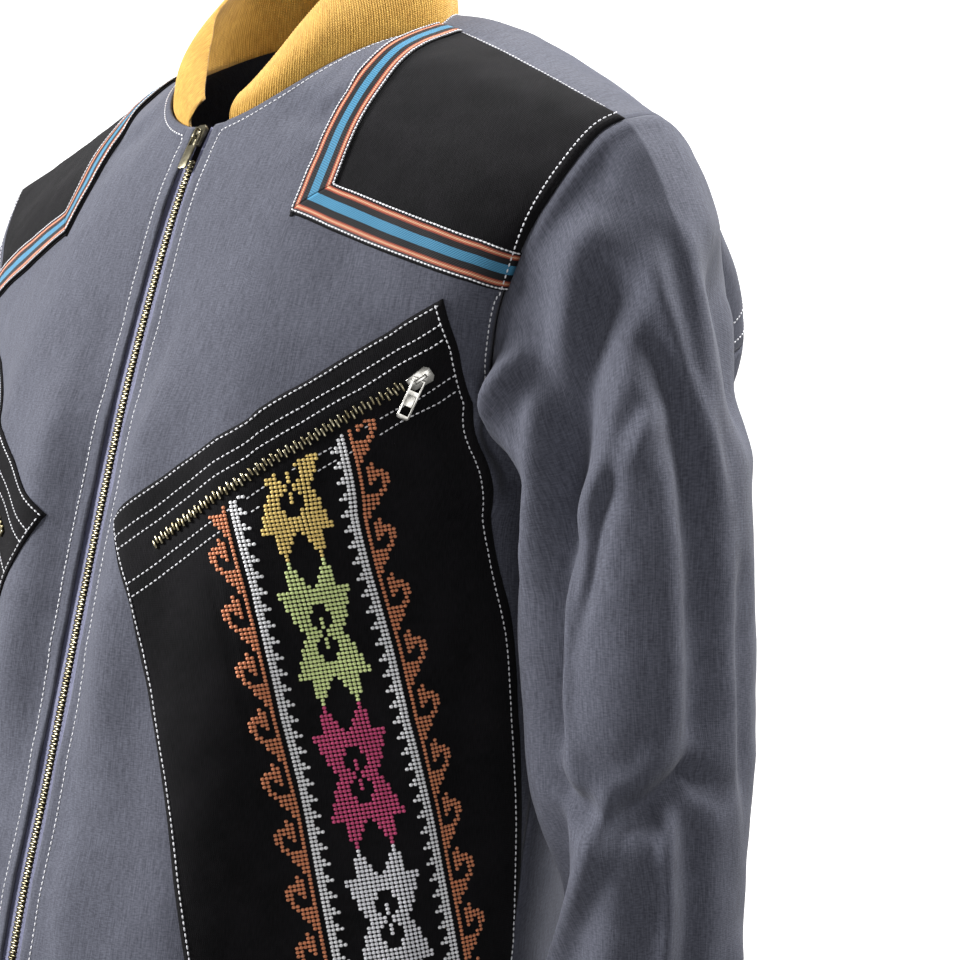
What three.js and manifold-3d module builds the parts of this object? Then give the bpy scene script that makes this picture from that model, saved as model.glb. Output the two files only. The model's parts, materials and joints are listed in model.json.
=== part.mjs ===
// Bomber jacket as worn, cut from flat panels and sewn: two fronts, back yoke and back, two sleeves, rib collar,
// rib cuffs and hem band, black shoulder patches edged with ribbon, black pocket panels, brass zips.
// Millimetres. +Z up, the front faces -Y, the wearer's left is +X. The origin lies midway between the two points
// where neckline and shoulder seam meet, which is where the wearer's shoulders carry the jacket.
import * as THREE from 'three';
import { mergeVertices } from 'three/addons/utils/BufferGeometryUtils.js';
import Module from 'manifold-3d';

const wasm = await Module();
wasm.setup();

// ---- driving dimensions ----
const CLOTH = 1.5;            // wall of the shell cloth
const RIB = 2.0;              // wall of the knitted rib
const PATCH = 1.0;            // wall of a sewn-on black patch or panel
const RIBBON = 0.8;           // wall of the woven ribbon
const GAP = 0.3;              // between pieces laid on each other
const SEAM = 0.6;             // between pieces sewn edge to edge
const TURNED_SEAM = 1.8;      // the same where the cloth turns a corner at the seam
const ZIP_OPENING = 8;        // from the centre front to the cloth's edge
const TAPE_WIDTH = 15;        // from the centre front to the zip tape's outer edge
const TAPE = 0.8;             // thickness of zip tape
const TEETH = 1.2;            // how far a pocket zip's teeth stand up
const CHAIN = 5.6;            // width of the closed row of teeth
const RIBBON_WIDTH = 20;
const UNDERARM_ROW = 6;       // the row where front and back meet under the arm
const HEM_ROW = 11;           // the row where the hem band is sewn on
const HEM_DEPTH = 60;
const CUFF_DEPTH = 65;
const SLIDER = { head: 8.5, foot: 6.5, length: 13, thickness: 2.2, corner: 2 };
// The loop on a slider that holds its pull.
const BRIDGE = { length: 6.5, height: 3, width: 1.6, bar: 1.2, play: 0.3 };
const PULL = { width: 6.6, length: 21, thickness: 1.1, arm: 1.1, eye: 6.2, foot: 1.6, swing: 32 };
const COLUMNS = 10;           // facets from centre to side in each half of a front or back
const NECK_POINT = 0.5;       // how far across a row the neck-shoulder point lies

// Rows of the left half of the shell, from shoulder seam to hem. Each row is a smooth ring through the centre
// front, the mid front, the side, the mid back and the centre back. Down to the underarm the side is two points:
// the front and the back edge of the armhole. bend says how far the ring turns round at the armhole.
const FRONT_ROWS = [
  // centreY, centreZ, midX, midY, midZ, sideX, sideY, sideZ, bend
  { centreY: -4, centreZ: 9, midX: 88, midY: 6, midZ: 0, sideX: 247, sideY: -28, sideZ: -69, bend: 0 },
  { centreY: -64, centreZ: -27, midX: 90, midY: -36, midZ: -20, sideX: 238, sideY: -38, sideZ: -78, bend: 0.2 },
  { centreY: -84, centreZ: -58, midX: 92, midY: -70, midZ: -56, sideX: 226, sideY: -55, sideZ: -106, bend: 0.5 },
  { centreY: -101, centreZ: -95, midX: 94, midY: -97, midZ: -102, sideX: 212, sideY: -62, sideZ: -134, bend: 0.8 },
  { centreY: -117, centreZ: -142, midX: 98, midY: -118, midZ: -148, sideX: 199, sideY: -64, sideZ: -172, bend: 1 },
  { centreY: -134, centreZ: -200, midX: 106, midY: -134, midZ: -203, sideX: 189, sideY: -49, sideZ: -215, bend: 1 },
  { centreY: -149, centreZ: -262, midX: 116, midY: -143, midZ: -262, sideX: 190, sideY: -5, sideZ: -262, bend: 1 },
  { centreY: -165, centreZ: -332, midX: 118, midY: -145, midZ: -332, sideX: 190, sideY: -9, sideZ: -332, bend: 1 },
  { centreY: -180, centreZ: -400, midX: 118, midY: -151, midZ: -400, sideX: 189, sideY: -18, sideZ: -400, bend: 1 },
  { centreY: -196, centreZ: -470, midX: 118, midY: -160, midZ: -470, sideX: 190, sideY: -32, sideZ: -470, bend: 1 },
  { centreY: -206, centreZ: -540, midX: 118, midY: -168, midZ: -540, sideX: 192, sideY: -42, sideZ: -540, bend: 1 },
  { centreY: -206, centreZ: -608, midX: 113, midY: -166, midZ: -608, sideX: 184, sideY: -46, sideZ: -608, bend: 1 },
];
const BACK_ROWS = [
  { centreY: -4, centreZ: 9, midX: 88, midY: 6, midZ: 0, sideX: 247, sideY: -28, sideZ: -69, bend: 0 },
  { centreY: 52, centreZ: 6, midX: 92, midY: 34, midZ: 9, sideX: 246, sideY: 2, sideZ: -64, bend: 0.2 },
  { centreY: 84, centreZ: -16, midX: 98, midY: 68, midZ: 0, sideX: 236, sideY: 38, sideZ: -76, bend: 0.5 },
  { centreY: 106, centreZ: -52, midX: 106, midY: 98, midZ: -36, sideX: 220, sideY: 74, sideZ: -100, bend: 0.8 },
  { centreY: 126, centreZ: -108, midX: 114, midY: 124, midZ: -96, sideX: 208, sideY: 104, sideZ: -140, bend: 1 },
  { centreY: 138, centreZ: -180, midX: 120, midY: 136, midZ: -174, sideX: 201, sideY: 96, sideZ: -198, bend: 1 },
  { centreY: 144, centreZ: -262, midX: 122, midY: 132, midZ: -262, sideX: 190, sideY: -5, sideZ: -262, bend: 1 },
  { centreY: 138, centreZ: -332, midX: 120, midY: 126, midZ: -332, sideX: 190, sideY: -9, sideZ: -332, bend: 1 },
  { centreY: 124, centreZ: -400, midX: 116, midY: 112, midZ: -400, sideX: 189, sideY: -18, sideZ: -400, bend: 1 },
  { centreY: 112, centreZ: -470, midX: 114, midY: 100, midZ: -470, sideX: 190, sideY: -32, sideZ: -470, bend: 1 },
  { centreY: 106, centreZ: -540, midX: 114, midY: 93, midZ: -540, sideX: 192, sideY: -42, sideZ: -540, bend: 1 },
  { centreY: 98, centreZ: -608, midX: 108, midY: 86, midZ: -608, sideX: 184, sideY: -46, sideZ: -608, bend: 1 },
];
// Where the neckline leaves the rows above it: the row at the centre, and how round the curve is.
const FRONT_NECK = { row: 1.98, flat: 2.3, round: 0.62 };
const BACK_NECK = { row: 1.85, flat: 2.4, round: 0.7 };
// The back yoke's seam, as a row number: higher at the centre back than at the armhole.
const YOKE_SEAM = { centre: 4.0, side: 4.75 };

// Rings of the sleeve below its cap, from the biceps to the cuff seam: centre and half widths.
const SLEEVE_ROWS = [
  { z: -292, centreX: 251, centreY: -11, halfX: 49, halfY: 63 },
  { z: -328, centreX: 251, centreY: -11, halfX: 49, halfY: 63 },
  { z: -365, centreX: 253, centreY: -10, halfX: 48, halfY: 60 },
  { z: -403, centreX: 255, centreY: -9, halfX: 46, halfY: 55 },
  { z: -445, centreX: 258, centreY: -6, halfX: 42, halfY: 49 },
  { z: -490, centreX: 258, centreY: -8, halfX: 42, halfY: 47 },
  { z: -545, centreX: 260, centreY: -16, halfX: 41, halfY: 46 },
  { z: -598, centreX: 261, centreY: -27, halfX: 41, halfY: 45 },
  { z: -624, centreX: 261, centreY: -32, halfX: 35, halfY: 39 },
];
const SLEEVE_FACETS = 24;     // round the sleeve, so that its edge has the armhole's own points
const CAP_STEPS = [0, 0.08, 0.22, 0.4, 0.6, 0.8];
const CAP_SLOPE = { top: 40, side: 58, bottom: 72 };   // degrees below level at which the sleeve leaves the armhole
const CAP_PULL = { leave: 0.74, arrive: 0.75 };          // how long the cap holds its slope at each end
const SLEEVE_GIRTH = 372;

// Largest folds. Each runs straight from one place to another on the flat cloth: round and down from the shoulder,
// in millimetres. On a sleeve round is measured forwards from the outer side. A negative height is a trough.
const SLEEVE_FOLDS = [
  { round0: 148, z0: -196, round1: 160, z1: -262, width: 15, height: -17 },
  { round0: 128, z0: -182, round1: 132, z1: -238, width: 13, height: 8 },
  { round0: 140, z0: -262, round1: 146, z1: -430, width: 17, height: 5 },
  { round0: 92, z0: -165, round1: 90, z1: -372, width: 21, height: -8 },
  { round0: 47, z0: -150, round1: 40, z1: -372, width: 20, height: 5 },
  { round0: 8, z0: -140, round1: 2, z1: -360, width: 18, height: -4 },
  { round0: 92, z0: -386, round1: 12, z1: -396, width: 15, height: -7 },
  { round0: 62, z0: -405, round1: 88, z1: -500, width: 16, height: 5 },
  { round0: 250, z0: -250, round1: 262, z1: -420, width: 22, height: -6 },
  { round0: 330, z0: -128, round1: 322, z1: -222, width: 26, height: -14 },
  { round0: 310, z0: -300, round1: 300, z1: -440, width: 22, height: 4 },
];
const SHELL_FOLDS = [
  { round0: 150, z0: -300, round1: 176, z1: -560, width: 30, height: -5 },
  { round0: 95, z0: -330, round1: 110, z1: -590, width: 26, height: 4 },
  { round0: 40, z0: -190, round1: 46, z1: -400, width: 24, height: 10 },
];
const BACK_FOLDS = [
  { round0: 168, z0: -120, round1: 176, z1: -222, width: 30, height: 18 },
  { round0: 120, z0: -190, round1: 150, z1: -420, width: 30, height: -5 },
  { round0: 60, z0: -260, round1: 70, z1: -560, width: 28, height: 4 },
];

// Height of the collar above the neckline and how far its top leans in towards the neck, from zip to centre back.
const COLLAR_ROWS = [
  { along: 0, height: 15, lean: 9 },
  { along: 0.07, height: 28, lean: 17 },
  { along: 0.16, height: 38, lean: 21 },
  { along: 0.28, height: 43, lean: 21 },
  { along: 0.5, height: 45, lean: 18 },
  { along: 0.67, height: 45, lean: 15 },
  { along: 1, height: 58, lean: 10 },
];

// Outlines of what lies on the left front. The shoulder patch is drawn in the front view (across, z); the pocket
// panel on the flat cloth (round from the centre front, z). A straight edge runs through two points, with the piece
// on the left hand of the way from the first to the second.
const SHOULDER_CORNER = { across: 94, z: -113 };
const SHOULDER_EDGES = {
  upright: [{ across: 88, z: 0 }, SHOULDER_CORNER],
  slant: [SHOULDER_CORNER, { across: 203, z: -152 }],
};
const POCKET_SIDES = [
  { z: -157, inner: 31, outer: 194 },
  { z: -205, inner: 31, outer: 216 },
  { z: -244, inner: 31, outer: 233 },
  { z: -269, inner: 31, outer: 242 },
  { z: -307, inner: 56, outer: 254 },
  { z: -383, inner: 84, outer: 268 },
  { z: -474, inner: 110, outer: 282 },
];
const POCKET_TOP = [{ across: 194, z: -157 }, { across: 31, z: -269 }];
const POCKET_HEM = [{ across: 0, z: -606 }, { across: 300, z: -606 }];
const POCKET_ZIP = { from: { across: 66, z: -280 }, to: { across: 189, z: -194 }, width: 6 };

// ---- surfaces ----
const vec = (x, y, z) => new THREE.Vector3(x, y, z);
const smooth = (a, b, x) => THREE.MathUtils.smoothstep(x, a, b);
const mix = THREE.MathUtils.lerp;

// Point on the smooth curve through four points, between the second and the third.
function between(p0, p1, p2, p3, t) {
  const part = (a, b, c, d) => 0.5 * (2 * b + (c - a) * t + (2 * a - 5 * b + 4 * c - d) * t * t
    + (3 * b - a - 3 * c + d) * t * t * t);
  return vec(part(p0.x, p1.x, p2.x, p3.x), part(p0.y, p1.y, p2.y, p3.y), part(p0.z, p1.z, p2.z, p3.z));
}

// Point at u (0 centre, 1 side) on one row of the left front or back.
function rowPoint(rows, others, index, u) {
  const row = rows[index];
  const centre = vec(0, row.centreY, row.centreZ);
  const mid = vec(row.midX, row.midY, row.midZ);
  const side = vec(row.sideX, row.sideY, row.sideZ);
  const straight = side.clone().multiplyScalar(2).sub(mid);
  const other = vec(others[index].midX, others[index].midY, others[index].midZ);
  const beyond = straight.lerp(other, row.bend);
  if (u < NECK_POINT) return between(vec(-mid.x, mid.y, mid.z), centre, mid, side, u / NECK_POINT);
  return between(centre, mid, side, beyond, (u - NECK_POINT) / (1 - NECK_POINT));
}

function shellPoint(rows, others, u, v) {
  const last = rows.length - 1;
  const i = Math.min(Math.floor(v), last - 1);
  const at = (k) => rowPoint(rows, others, THREE.MathUtils.clamp(k, 0, last), u);
  const before = at(i - 1);
  // Under the arm front and back leave the armhole alike, so that they meet all down the side seam.
  if (i === UNDERARM_ROW) before.lerp(rowPoint(others, rows, i - 1, u), 0.5 * smooth(0.5, 1, u));
  return between(before, at(i), at(i + 1), at(i + 2), v - i);
}

// Direction off the surface, away from the body on a front and into it on the back.
function shellNormal(rows, others, u, v) {
  const step = 0.05;
  const down = shellPoint(rows, others, u, v + step).sub(shellPoint(rows, others, u, v - step));
  const round = shellPoint(rows, others, u + step, v).sub(shellPoint(rows, others, u - step, v));
  return down.cross(round).normalize();
}

const neckRow = (neck, u) => (u >= NECK_POINT ? 0
  : neck.row * (1 - (u / NECK_POINT) ** neck.flat) ** neck.round);

// Height of the folds at a place on the flat cloth.
function foldHeight(folds, round, z) {
  let height = 0;
  for (const f of folds) {
    const along = vec(f.round1 - f.round0, f.z1 - f.z0, 0);
    const t = vec(round - f.round0, z - f.z0, 0).dot(along) / along.lengthSq();
    const away = Math.hypot(round - mix(f.round0, f.round1, t), z - mix(f.z0, f.z1, t));
    const ends = smooth(-0.15, 0.25, t) * (1 - smooth(0.7, 1.15, t));
    height += f.height * ends * Math.exp(-((away / f.width) ** 2));
  }
  return height;
}

// Where a line of points would go on past its first point, turning as it does from there.
const past = ([a, b, c = b.clone().multiplyScalar(2).sub(a)]) => a.clone().sub(b).multiplyScalar(3).add(c);

// Outward normals of a grid of points [row][column], where rows run down and columns run round. A line `above` or
// `below` the grid, from the next piece, keeps the two pieces' normals alike along their seam.
function gridNormals(grid, { closed = false, above = null, below = null } = {}) {
  const pastRow = (rows) => grid[0].map((_, c) => past(rows.map((line) => line[c])));
  const tall = [above || pastRow(grid.slice(0, 3)), ...grid, below || pastRow(grid.slice(-3).reverse())];
  return grid.map((line, r) => {
    const openEnds = [past(line.slice(0, 3)), past(line.slice(-3).reverse())];
    const ends = closed ? [line[line.length - 1], line[0]] : openEnds;
    const wide = [ends[0], ...line, ends[1]];
    return line.map((_, c) => {
      const down = tall[r + 2][c].clone().sub(tall[r][c]);
      const round = wide[c + 2].clone().sub(wide[c]);
      return down.cross(round).normalize();
    });
  });
}

// Lines of a grid as row numbers at each place across: a number of steps from one line to another.
const fixed = (row) => () => row;
const steps = (from, to, count) => Array.from({ length: count }, (_, k) => (u) => mix(from(u), to(u), k / count));

// A grid of the left half of the shell along those lines, from `first` off the centre to the side. Folds fade out
// at the seams.
function shellGrid(rows, others, folds, stations, first) {
  const facing = Math.sign(others[UNDERARM_ROW].centreY);      // +1 on a front, -1 on the back
  const grid = stations.map((station) => Array.from({ length: COLUMNS + 1 }, (_, c) => {
    const v = station(c / COLUMNS);
    if (c > 0) return shellPoint(rows, others, c / COLUMNS, v);
    const point = shellPoint(rows, others, NECK_POINT * first / rows[Math.round(v)].midX, v);
    return point.setX(first);
  }));
  const round = roundDistances(grid);
  return grid.map((line, r) => line.map((point, c) => {
    const u = c / COLUMNS;
    const height = facing * smooth(0, 0.12, u) * (1 - smooth(0.88, 1, u)) * foldHeight(folds, round[r][c], point.z);
    return point.clone().addScaledVector(shellNormal(rows, others, u, stations[r](u)), height);
  }));
}

// Distance of each grid point from the centre, round the body in plan.
function roundDistances(grid) {
  return grid.map((line) => {
    let sum = Math.abs(line[0].x);
    return line.map((point, c) => {
      if (c > 0) sum += Math.hypot(point.x - line[c - 1].x, point.y - line[c - 1].y);
      return sum;
    });
  });
}

// ---- solids ----
// Closed mesh from triangles of points, turned so that its faces point outwards.
function solid(triangles) {
  const position = new Float32Array(triangles.flat().flatMap((p) => [p.x, p.y, p.z]));
  let volume = 0;
  for (const [a, b, c] of triangles) volume += a.dot(b.clone().cross(c));
  if (volume < 0) {
    for (let i = 0; i < position.length; i += 9) {
      for (let k = 0; k < 3; k++) {
        const keep = position[i + 3 + k];
        position[i + 3 + k] = position[i + 6 + k];
        position[i + 6 + k] = keep;
      }
    }
  }
  const geometry = new THREE.BufferGeometry();
  geometry.setAttribute('position', new THREE.BufferAttribute(position, 3));
  const merged = mergeVertices(geometry, 1e-4);
  merged.computeVertexNormals();
  return merged;
}

// The two triangles of a grid cell, always split along the same diagonal.
const cell = (grid, r, c, d) => [
  [grid[r][c], grid[r + 1][c], grid[r + 1][d]],
  [grid[r][c], grid[r + 1][d], grid[r][d]],
];

// Wall of the given thickness inside a grid of points.
function wall(grid, thickness, { closed = false, above = null, below = null } = {}) {
  const normals = gridNormals(grid, { closed, above, below });
  const inner = grid.map((line, r) => line.map((p, c) => p.clone().addScaledVector(normals[r][c], -thickness)));
  const rows = grid.length;
  const cols = grid[0].length;
  const next = (c) => (closed ? (c + 1) % cols : c + 1);
  const triangles = [];
  const strip = (a, b, c, d) => triangles.push([a, b, c], [a, c, d]);
  for (let r = 0; r < rows - 1; r++) {
    for (let c = 0; c < (closed ? cols : cols - 1); c++) {
      triangles.push(...cell(grid, r, c, next(c)));
      triangles.push(...cell(inner, r, c, next(c)).map(([a, b, d]) => [a, d, b]));
    }
    if (!closed) {
      strip(grid[r][0], inner[r][0], inner[r + 1][0], grid[r + 1][0]);
      strip(grid[r + 1][cols - 1], inner[r + 1][cols - 1], inner[r][cols - 1], grid[r][cols - 1]);
    }
  }
  for (let c = 0; c < (closed ? cols : cols - 1); c++) {
    strip(grid[0][next(c)], inner[0][next(c)], inner[0][c], grid[0][c]);
    strip(grid[rows - 1][c], inner[rows - 1][c], inner[rows - 1][next(c)], grid[rows - 1][next(c)]);
  }
  return solid(triangles);
}

// Row of a table at a place between its rows.
function rowAt(table, by, at) {
  const rising = Math.sign(table[1][by] - table[0][by]);
  const found = table.findIndex((row) => (row[by] - at) * rising >= 0);
  const i = found < 0 ? table.length - 1 : Math.max(found, 1);
  const [a, b] = [table[i - 1], table[i]];
  const t = (at - a[by]) / (b[by] - a[by]);
  return Object.fromEntries(Object.keys(a).map((key) => [key, mix(a[key], b[key], t)]));
}

// Piece cut from a panel's own facets and moved out to lie on it. Each edge is a function that is positive inside.
function cutFromPanel(grid, places, edges, lift, thickness) {
  const normals = gridNormals(grid);
  const corner = (r, c) => ({ point: grid[r][c], normal: normals[r][c], place: places[r][c] });
  const corners = grid.map((line, r) => line.map((_, c) => corner(r, c)));
  const keyOf = (p) => `${p.x.toFixed(3)},${p.y.toFixed(3)},${p.z.toFixed(3)}`;
  const facets = [];
  for (let r = 0; r < grid.length - 1; r++) {
    for (let c = 0; c < grid[0].length - 1; c++) {
      for (const facet of cell(corners, r, c, c + 1)) {
        let polygon = facet;
        for (const edge of edges) polygon = clip(polygon, edge);
        for (let k = 1; k < polygon.length - 1; k++) facets.push([polygon[0], polygon[k], polygon[k + 1]]);
      }
    }
  }
  const moved = (v, by) => v.point.clone().addScaledVector(v.normal, by);
  const triangles = [];
  const sides = new Map();
  for (const facet of facets) {
    const keys = facet.map((v) => keyOf(v.point));
    if (new Set(keys).size < 3) continue;
    triangles.push(facet.map((v) => moved(v, lift + thickness)));
    triangles.push(facet.map((v) => moved(v, lift)).reverse());
    for (let k = 0; k < 3; k++) {
      const [from, to] = [keys[k], keys[(k + 1) % 3]];
      if (sides.has(`${to}>${from}`)) sides.delete(`${to}>${from}`);
      else sides.set(`${from}>${to}`, [facet[k], facet[(k + 1) % 3]]);
    }
  }
  for (const [a, b] of sides.values()) {
    const [topA, topB] = [moved(a, lift + thickness), moved(b, lift + thickness)];
    const [lowA, lowB] = [moved(a, lift), moved(b, lift)];
    triangles.push([topB, topA, lowA], [topB, lowA, lowB]);
  }
  return solid(triangles);
}

// The left hand of a straight edge.
const leftOf = ([from, to]) => ({ across, z }) => (to.across - from.across) * (z - from.z)
  - (to.z - from.z) * (across - from.across);

// Part of a polygon inside an edge.
function clip(polygon, edge) {
  const kept = [];
  polygon.forEach((v, k) => {
    const w = polygon[(k + 1) % polygon.length];
    const [a, b] = [edge(v.place), edge(w.place)];
    if (a >= 0) kept.push(v);
    if ((a >= 0) !== (b >= 0)) kept.push(blend(v, w, a / (a - b)));
  });
  return kept;
}

// The same point whichever way round the edge is given, so that neighbours share it.
function blend(v, w, t) {
  return {
    point: v.point.clone().lerp(w.point, t),
    normal: v.normal.clone().lerp(w.normal, t),
    place: { across: mix(v.place.across, w.place.across, t), z: mix(v.place.z, w.place.z, t) },
  };
}

// An edge moved sideways to its left by a distance.
function shifted([from, to], by) {
  const [dx, dz] = [to.across - from.across, to.z - from.z];
  const long = Math.hypot(dx, dz);
  const move = (p) => ({ across: p.across - dz / long * by, z: p.z + dx / long * by });
  return [move(from), move(to)];
}

const turned = ([from, to]) => [to, from];

// ---- materials ----
const paint = (color, roughness, metalness = 0) => new THREE.MeshStandardMaterial({ color, roughness, metalness });
const chambray = paint(0x5c5e6a, 0.9);
const blackCotton = paint(0x19191c, 0.95);
const mustardRib = paint(0xb58b42, 0.95);
const stripedRibbon = paint(0x4b87b0, 0.75);
const zipTape = paint(0x747686, 0.85);
const blackTape = paint(0x202022, 0.85);
const brass = paint(0x9b8d6a, 0.35, 1);
const nickel = paint(0xb9b6ad, 0.3, 1);

const jacket = new THREE.Group();
function add(name, geometry, material, group = jacket) {
  const mesh = new THREE.Mesh(geometry, material);
  mesh.name = name;
  group.add(mesh);
  return mesh;
}

// The same piece for the other side of the body.
function mirrorX(geometry) {
  const position = (geometry.getIndex() ? geometry.toNonIndexed() : geometry).getAttribute('position');
  const corner = (k) => vec(-position.getX(k), position.getY(k), position.getZ(k));
  const turned = (_, k) => [corner(3 * k), corner(3 * k + 2), corner(3 * k + 1)];
  return solid(Array.from({ length: position.count / 3 }, turned));
}
function addPair(name, geometry, material) {
  add(`${name}_left`, geometry, material);
  add(`${name}_right`, mirrorX(geometry), material);
}

// ---- fronts, back yoke and back ----
const UPPER_LINES = 10;       // lines of a front from shoulder seam to underarm
const LOWER_LINES = 7;        // and from there to the hem
const lowerLines = [...steps(fixed(UNDERARM_ROW), fixed(HEM_ROW), LOWER_LINES), fixed(HEM_ROW)];
const rowGap = SEAM / 30;     // rows of the yoke lie about 30 mm apart
const frontTop = (u) => neckRow(FRONT_NECK, u);
const yokeTop = (u) => neckRow(BACK_NECK, u) + rowGap;
const yokeSeam = (u) => mix(YOKE_SEAM.centre, YOKE_SEAM.side, u * u);
const backTop = (u) => yokeSeam(u) + rowGap;
const frontGrid = shellGrid(FRONT_ROWS, BACK_ROWS, SHELL_FOLDS,
  [...steps(frontTop, fixed(UNDERARM_ROW), UPPER_LINES), ...lowerLines], ZIP_OPENING);
const yokeHalf = shellGrid(BACK_ROWS, FRONT_ROWS, BACK_FOLDS, [...steps(yokeTop, yokeSeam, 6), yokeSeam], 0);
const backHalf = shellGrid(BACK_ROWS, FRONT_ROWS, BACK_FOLDS,
  [...steps(backTop, fixed(UNDERARM_ROW), 3), ...lowerLines], 0);

// Each piece's line above its top edge is the other's second line, where they meet at the shoulder seam.
const shoulderOnly = (own, other) => own.map((p, c) => (c >= COLUMNS * NECK_POINT ? other[c] : p));
const aboveFront = shoulderOnly(frontGrid[0], yokeHalf[1]);
const aboveYoke = shoulderOnly(yokeHalf[0], frontGrid[1]);
// Both halves joined at the centre back.
const wholeLine = (line) => [...line].reverse().concat(line.slice(1).map((p) => vec(-p.x, p.y, p.z)));
// The back, held clear of the fronts at the side seam.
const heldClear = (half) => half.map((line) => line.map((p, c) => {
  if (c < COLUMNS || p.z > BACK_ROWS[UNDERARM_ROW].sideZ + 1) return p;
  return p.clone().addScaledVector(line[c - 1].clone().sub(p).normalize(), TURNED_SEAM);
}));
addPair('front', wall(frontGrid, CLOTH, { above: aboveFront }), chambray);
add('back_yoke', wall(yokeHalf.map(wholeLine), CLOTH, {
  above: wholeLine(aboveYoke), below: wholeLine(backHalf[1]),
}), chambray);
add('back', wall(heldClear(backHalf).map(wholeLine), CLOTH, {
  above: wholeLine(yokeHalf[yokeHalf.length - 2]),
}), chambray);

// ---- sleeves ----
// The armhole's edge, from the shoulder tip down the front to the underarm and up the back.
function armholePoint(k) {
  const half = SLEEVE_FACETS / 2;
  if (k <= half) return shellPoint(FRONT_ROWS, BACK_ROWS, 1, UNDERARM_ROW * k / half);
  return shellPoint(BACK_ROWS, FRONT_ROWS, 1, UNDERARM_ROW * (SLEEVE_FACETS - k) / half);
}
function ringPoint(row, k) {
  const angle = 2 * Math.PI * k / SLEEVE_FACETS;
  return vec(row.centreX + row.halfX * Math.cos(angle), row.centreY - row.halfY * Math.sin(angle), row.z);
}
// Point on the cap's curve from the armhole to the first ring.
function capPoint(k, t) {
  const from = armholePoint(k);
  const to = ringPoint(SLEEVE_ROWS[0], k);
  const down = Math.cos(2 * Math.PI * k / SLEEVE_FACETS);
  const slope = down > 0 ? mix(CAP_SLOPE.side, CAP_SLOPE.top, down) : mix(CAP_SLOPE.side, CAP_SLOPE.bottom, -down);
  const angle = THREE.MathUtils.degToRad(slope);
  const reach = from.distanceTo(to);
  const leave = vec(Math.cos(angle), 0, -Math.sin(angle));
  from.addScaledVector(leave, TURNED_SEAM);
  const t2 = t * t;
  const t3 = t2 * t;
  return from.multiplyScalar(2 * t3 - 3 * t2 + 1).addScaledVector(leave, CAP_PULL.leave * reach * (t3 - 2 * t2 + t))
    .addScaledVector(to, 3 * t2 - 2 * t3).addScaledVector(vec(0, 0, -1), CAP_PULL.arrive * reach * (t3 - t2));
}
function sleeveGrid() {
  const grid = CAP_STEPS.map((t) => Array.from({ length: SLEEVE_FACETS }, (_, k) => capPoint(k, t)));
  for (const row of SLEEVE_ROWS) grid.push(Array.from({ length: SLEEVE_FACETS }, (_, k) => ringPoint(row, k)));
  const normals = gridNormals(grid, { closed: true }).map((line) => line.map((n) => n.negate()));
  return grid.map((line, r) => line.map((p, k) => {
    const round = SLEEVE_GIRTH * k / SLEEVE_FACETS;
    const heights = [round, round - SLEEVE_GIRTH].map((place) => foldHeight(SLEEVE_FOLDS, place, p.z));
    const fold = Math.max(...heights, 0) + Math.min(...heights, 0);
    const ends = smooth(0, 2, r) * (1 - smooth(grid.length - 3, grid.length - 1, r));
    return p.clone().addScaledVector(normals[r][k], ends * fold);
  }));
}
const sleeve = sleeveGrid().map((line) => [...line].reverse());
addPair('sleeve', wall(sleeve, CLOTH, { closed: true }), chambray);

// ---- cuffs ----
const cuffTop = SLEEVE_ROWS[SLEEVE_ROWS.length - 1];
const cuffGrid = [0, 0.4, 1].map((t) => {
  const row = {
    z: cuffTop.z - SEAM - t * CUFF_DEPTH,
    centreX: cuffTop.centreX, centreY: cuffTop.centreY - 14 * t,
    halfX: cuffTop.halfX - 3 * t, halfY: cuffTop.halfY - 4 * t,
  };
  return Array.from({ length: SLEEVE_FACETS }, (_, k) => ringPoint(row, SLEEVE_FACETS - k));
});
addPair('cuff', wall(cuffGrid, RIB, { closed: true }), mustardRib);

// ---- collar ----
// Neckline from one facet beside the zip round the back to one facet from its other side.
const frontNeck = frontGrid[0].slice(1, COLUMNS * NECK_POINT + 1);
const backNeck = yokeHalf[0].slice(0, COLUMNS * NECK_POINT).reverse();
const leftNeck = frontNeck.concat(backNeck);
const neckline = leftNeck.concat([...leftNeck].reverse().slice(1).map((p) => vec(-p.x, p.y, p.z)));
const neckLengths = [0];
neckline.slice(1).forEach((p, k) => neckLengths.push(neckLengths[k] + p.distanceTo(neckline[k])));
const neckLength = neckLengths[neckline.length - 1];
const collarGrid = [1, 0.66, 0.33, 0].map((t) => neckline.map((p, k) => {
  const along = 1 - Math.abs(1 - 2 * neckLengths[k] / neckLength);
  const { height, lean } = rowAt(COLLAR_ROWS, 'along', along);
  const inwards = vec(-p.x, -p.y, 0).normalize();
  return p.clone().add(vec(0, 0, SEAM + CLOTH * 0.4 + t * height)).addScaledVector(inwards, lean * t * t + 0.4);
}));
add('collar', wall(collarGrid, RIB), mustardRib);

// ---- hem band ----
const hemLine = frontGrid[frontGrid.length - 1].concat(backHalf[backHalf.length - 1].slice(0, COLUMNS).reverse());
const hemLoop = hemLine.concat([...hemLine].reverse().slice(1).map((p) => vec(-p.x, p.y, p.z)));
const hemGrid = [0, 0.4, 1].map((t) => hemLoop.map((p, k) => {
  const end = k === 0 || k === hemLoop.length - 1;
  const inwards = vec(-p.x, -50 - p.y, 0).normalize();
  const point = p.clone().addScaledVector(inwards, 5 * t * t - 1).add(vec(0, 0, -SEAM - t * HEM_DEPTH));
  if (end) point.x = p.x;
  return point;
}));
add('hem_band', wall(hemGrid, RIB), mustardRib);

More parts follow.
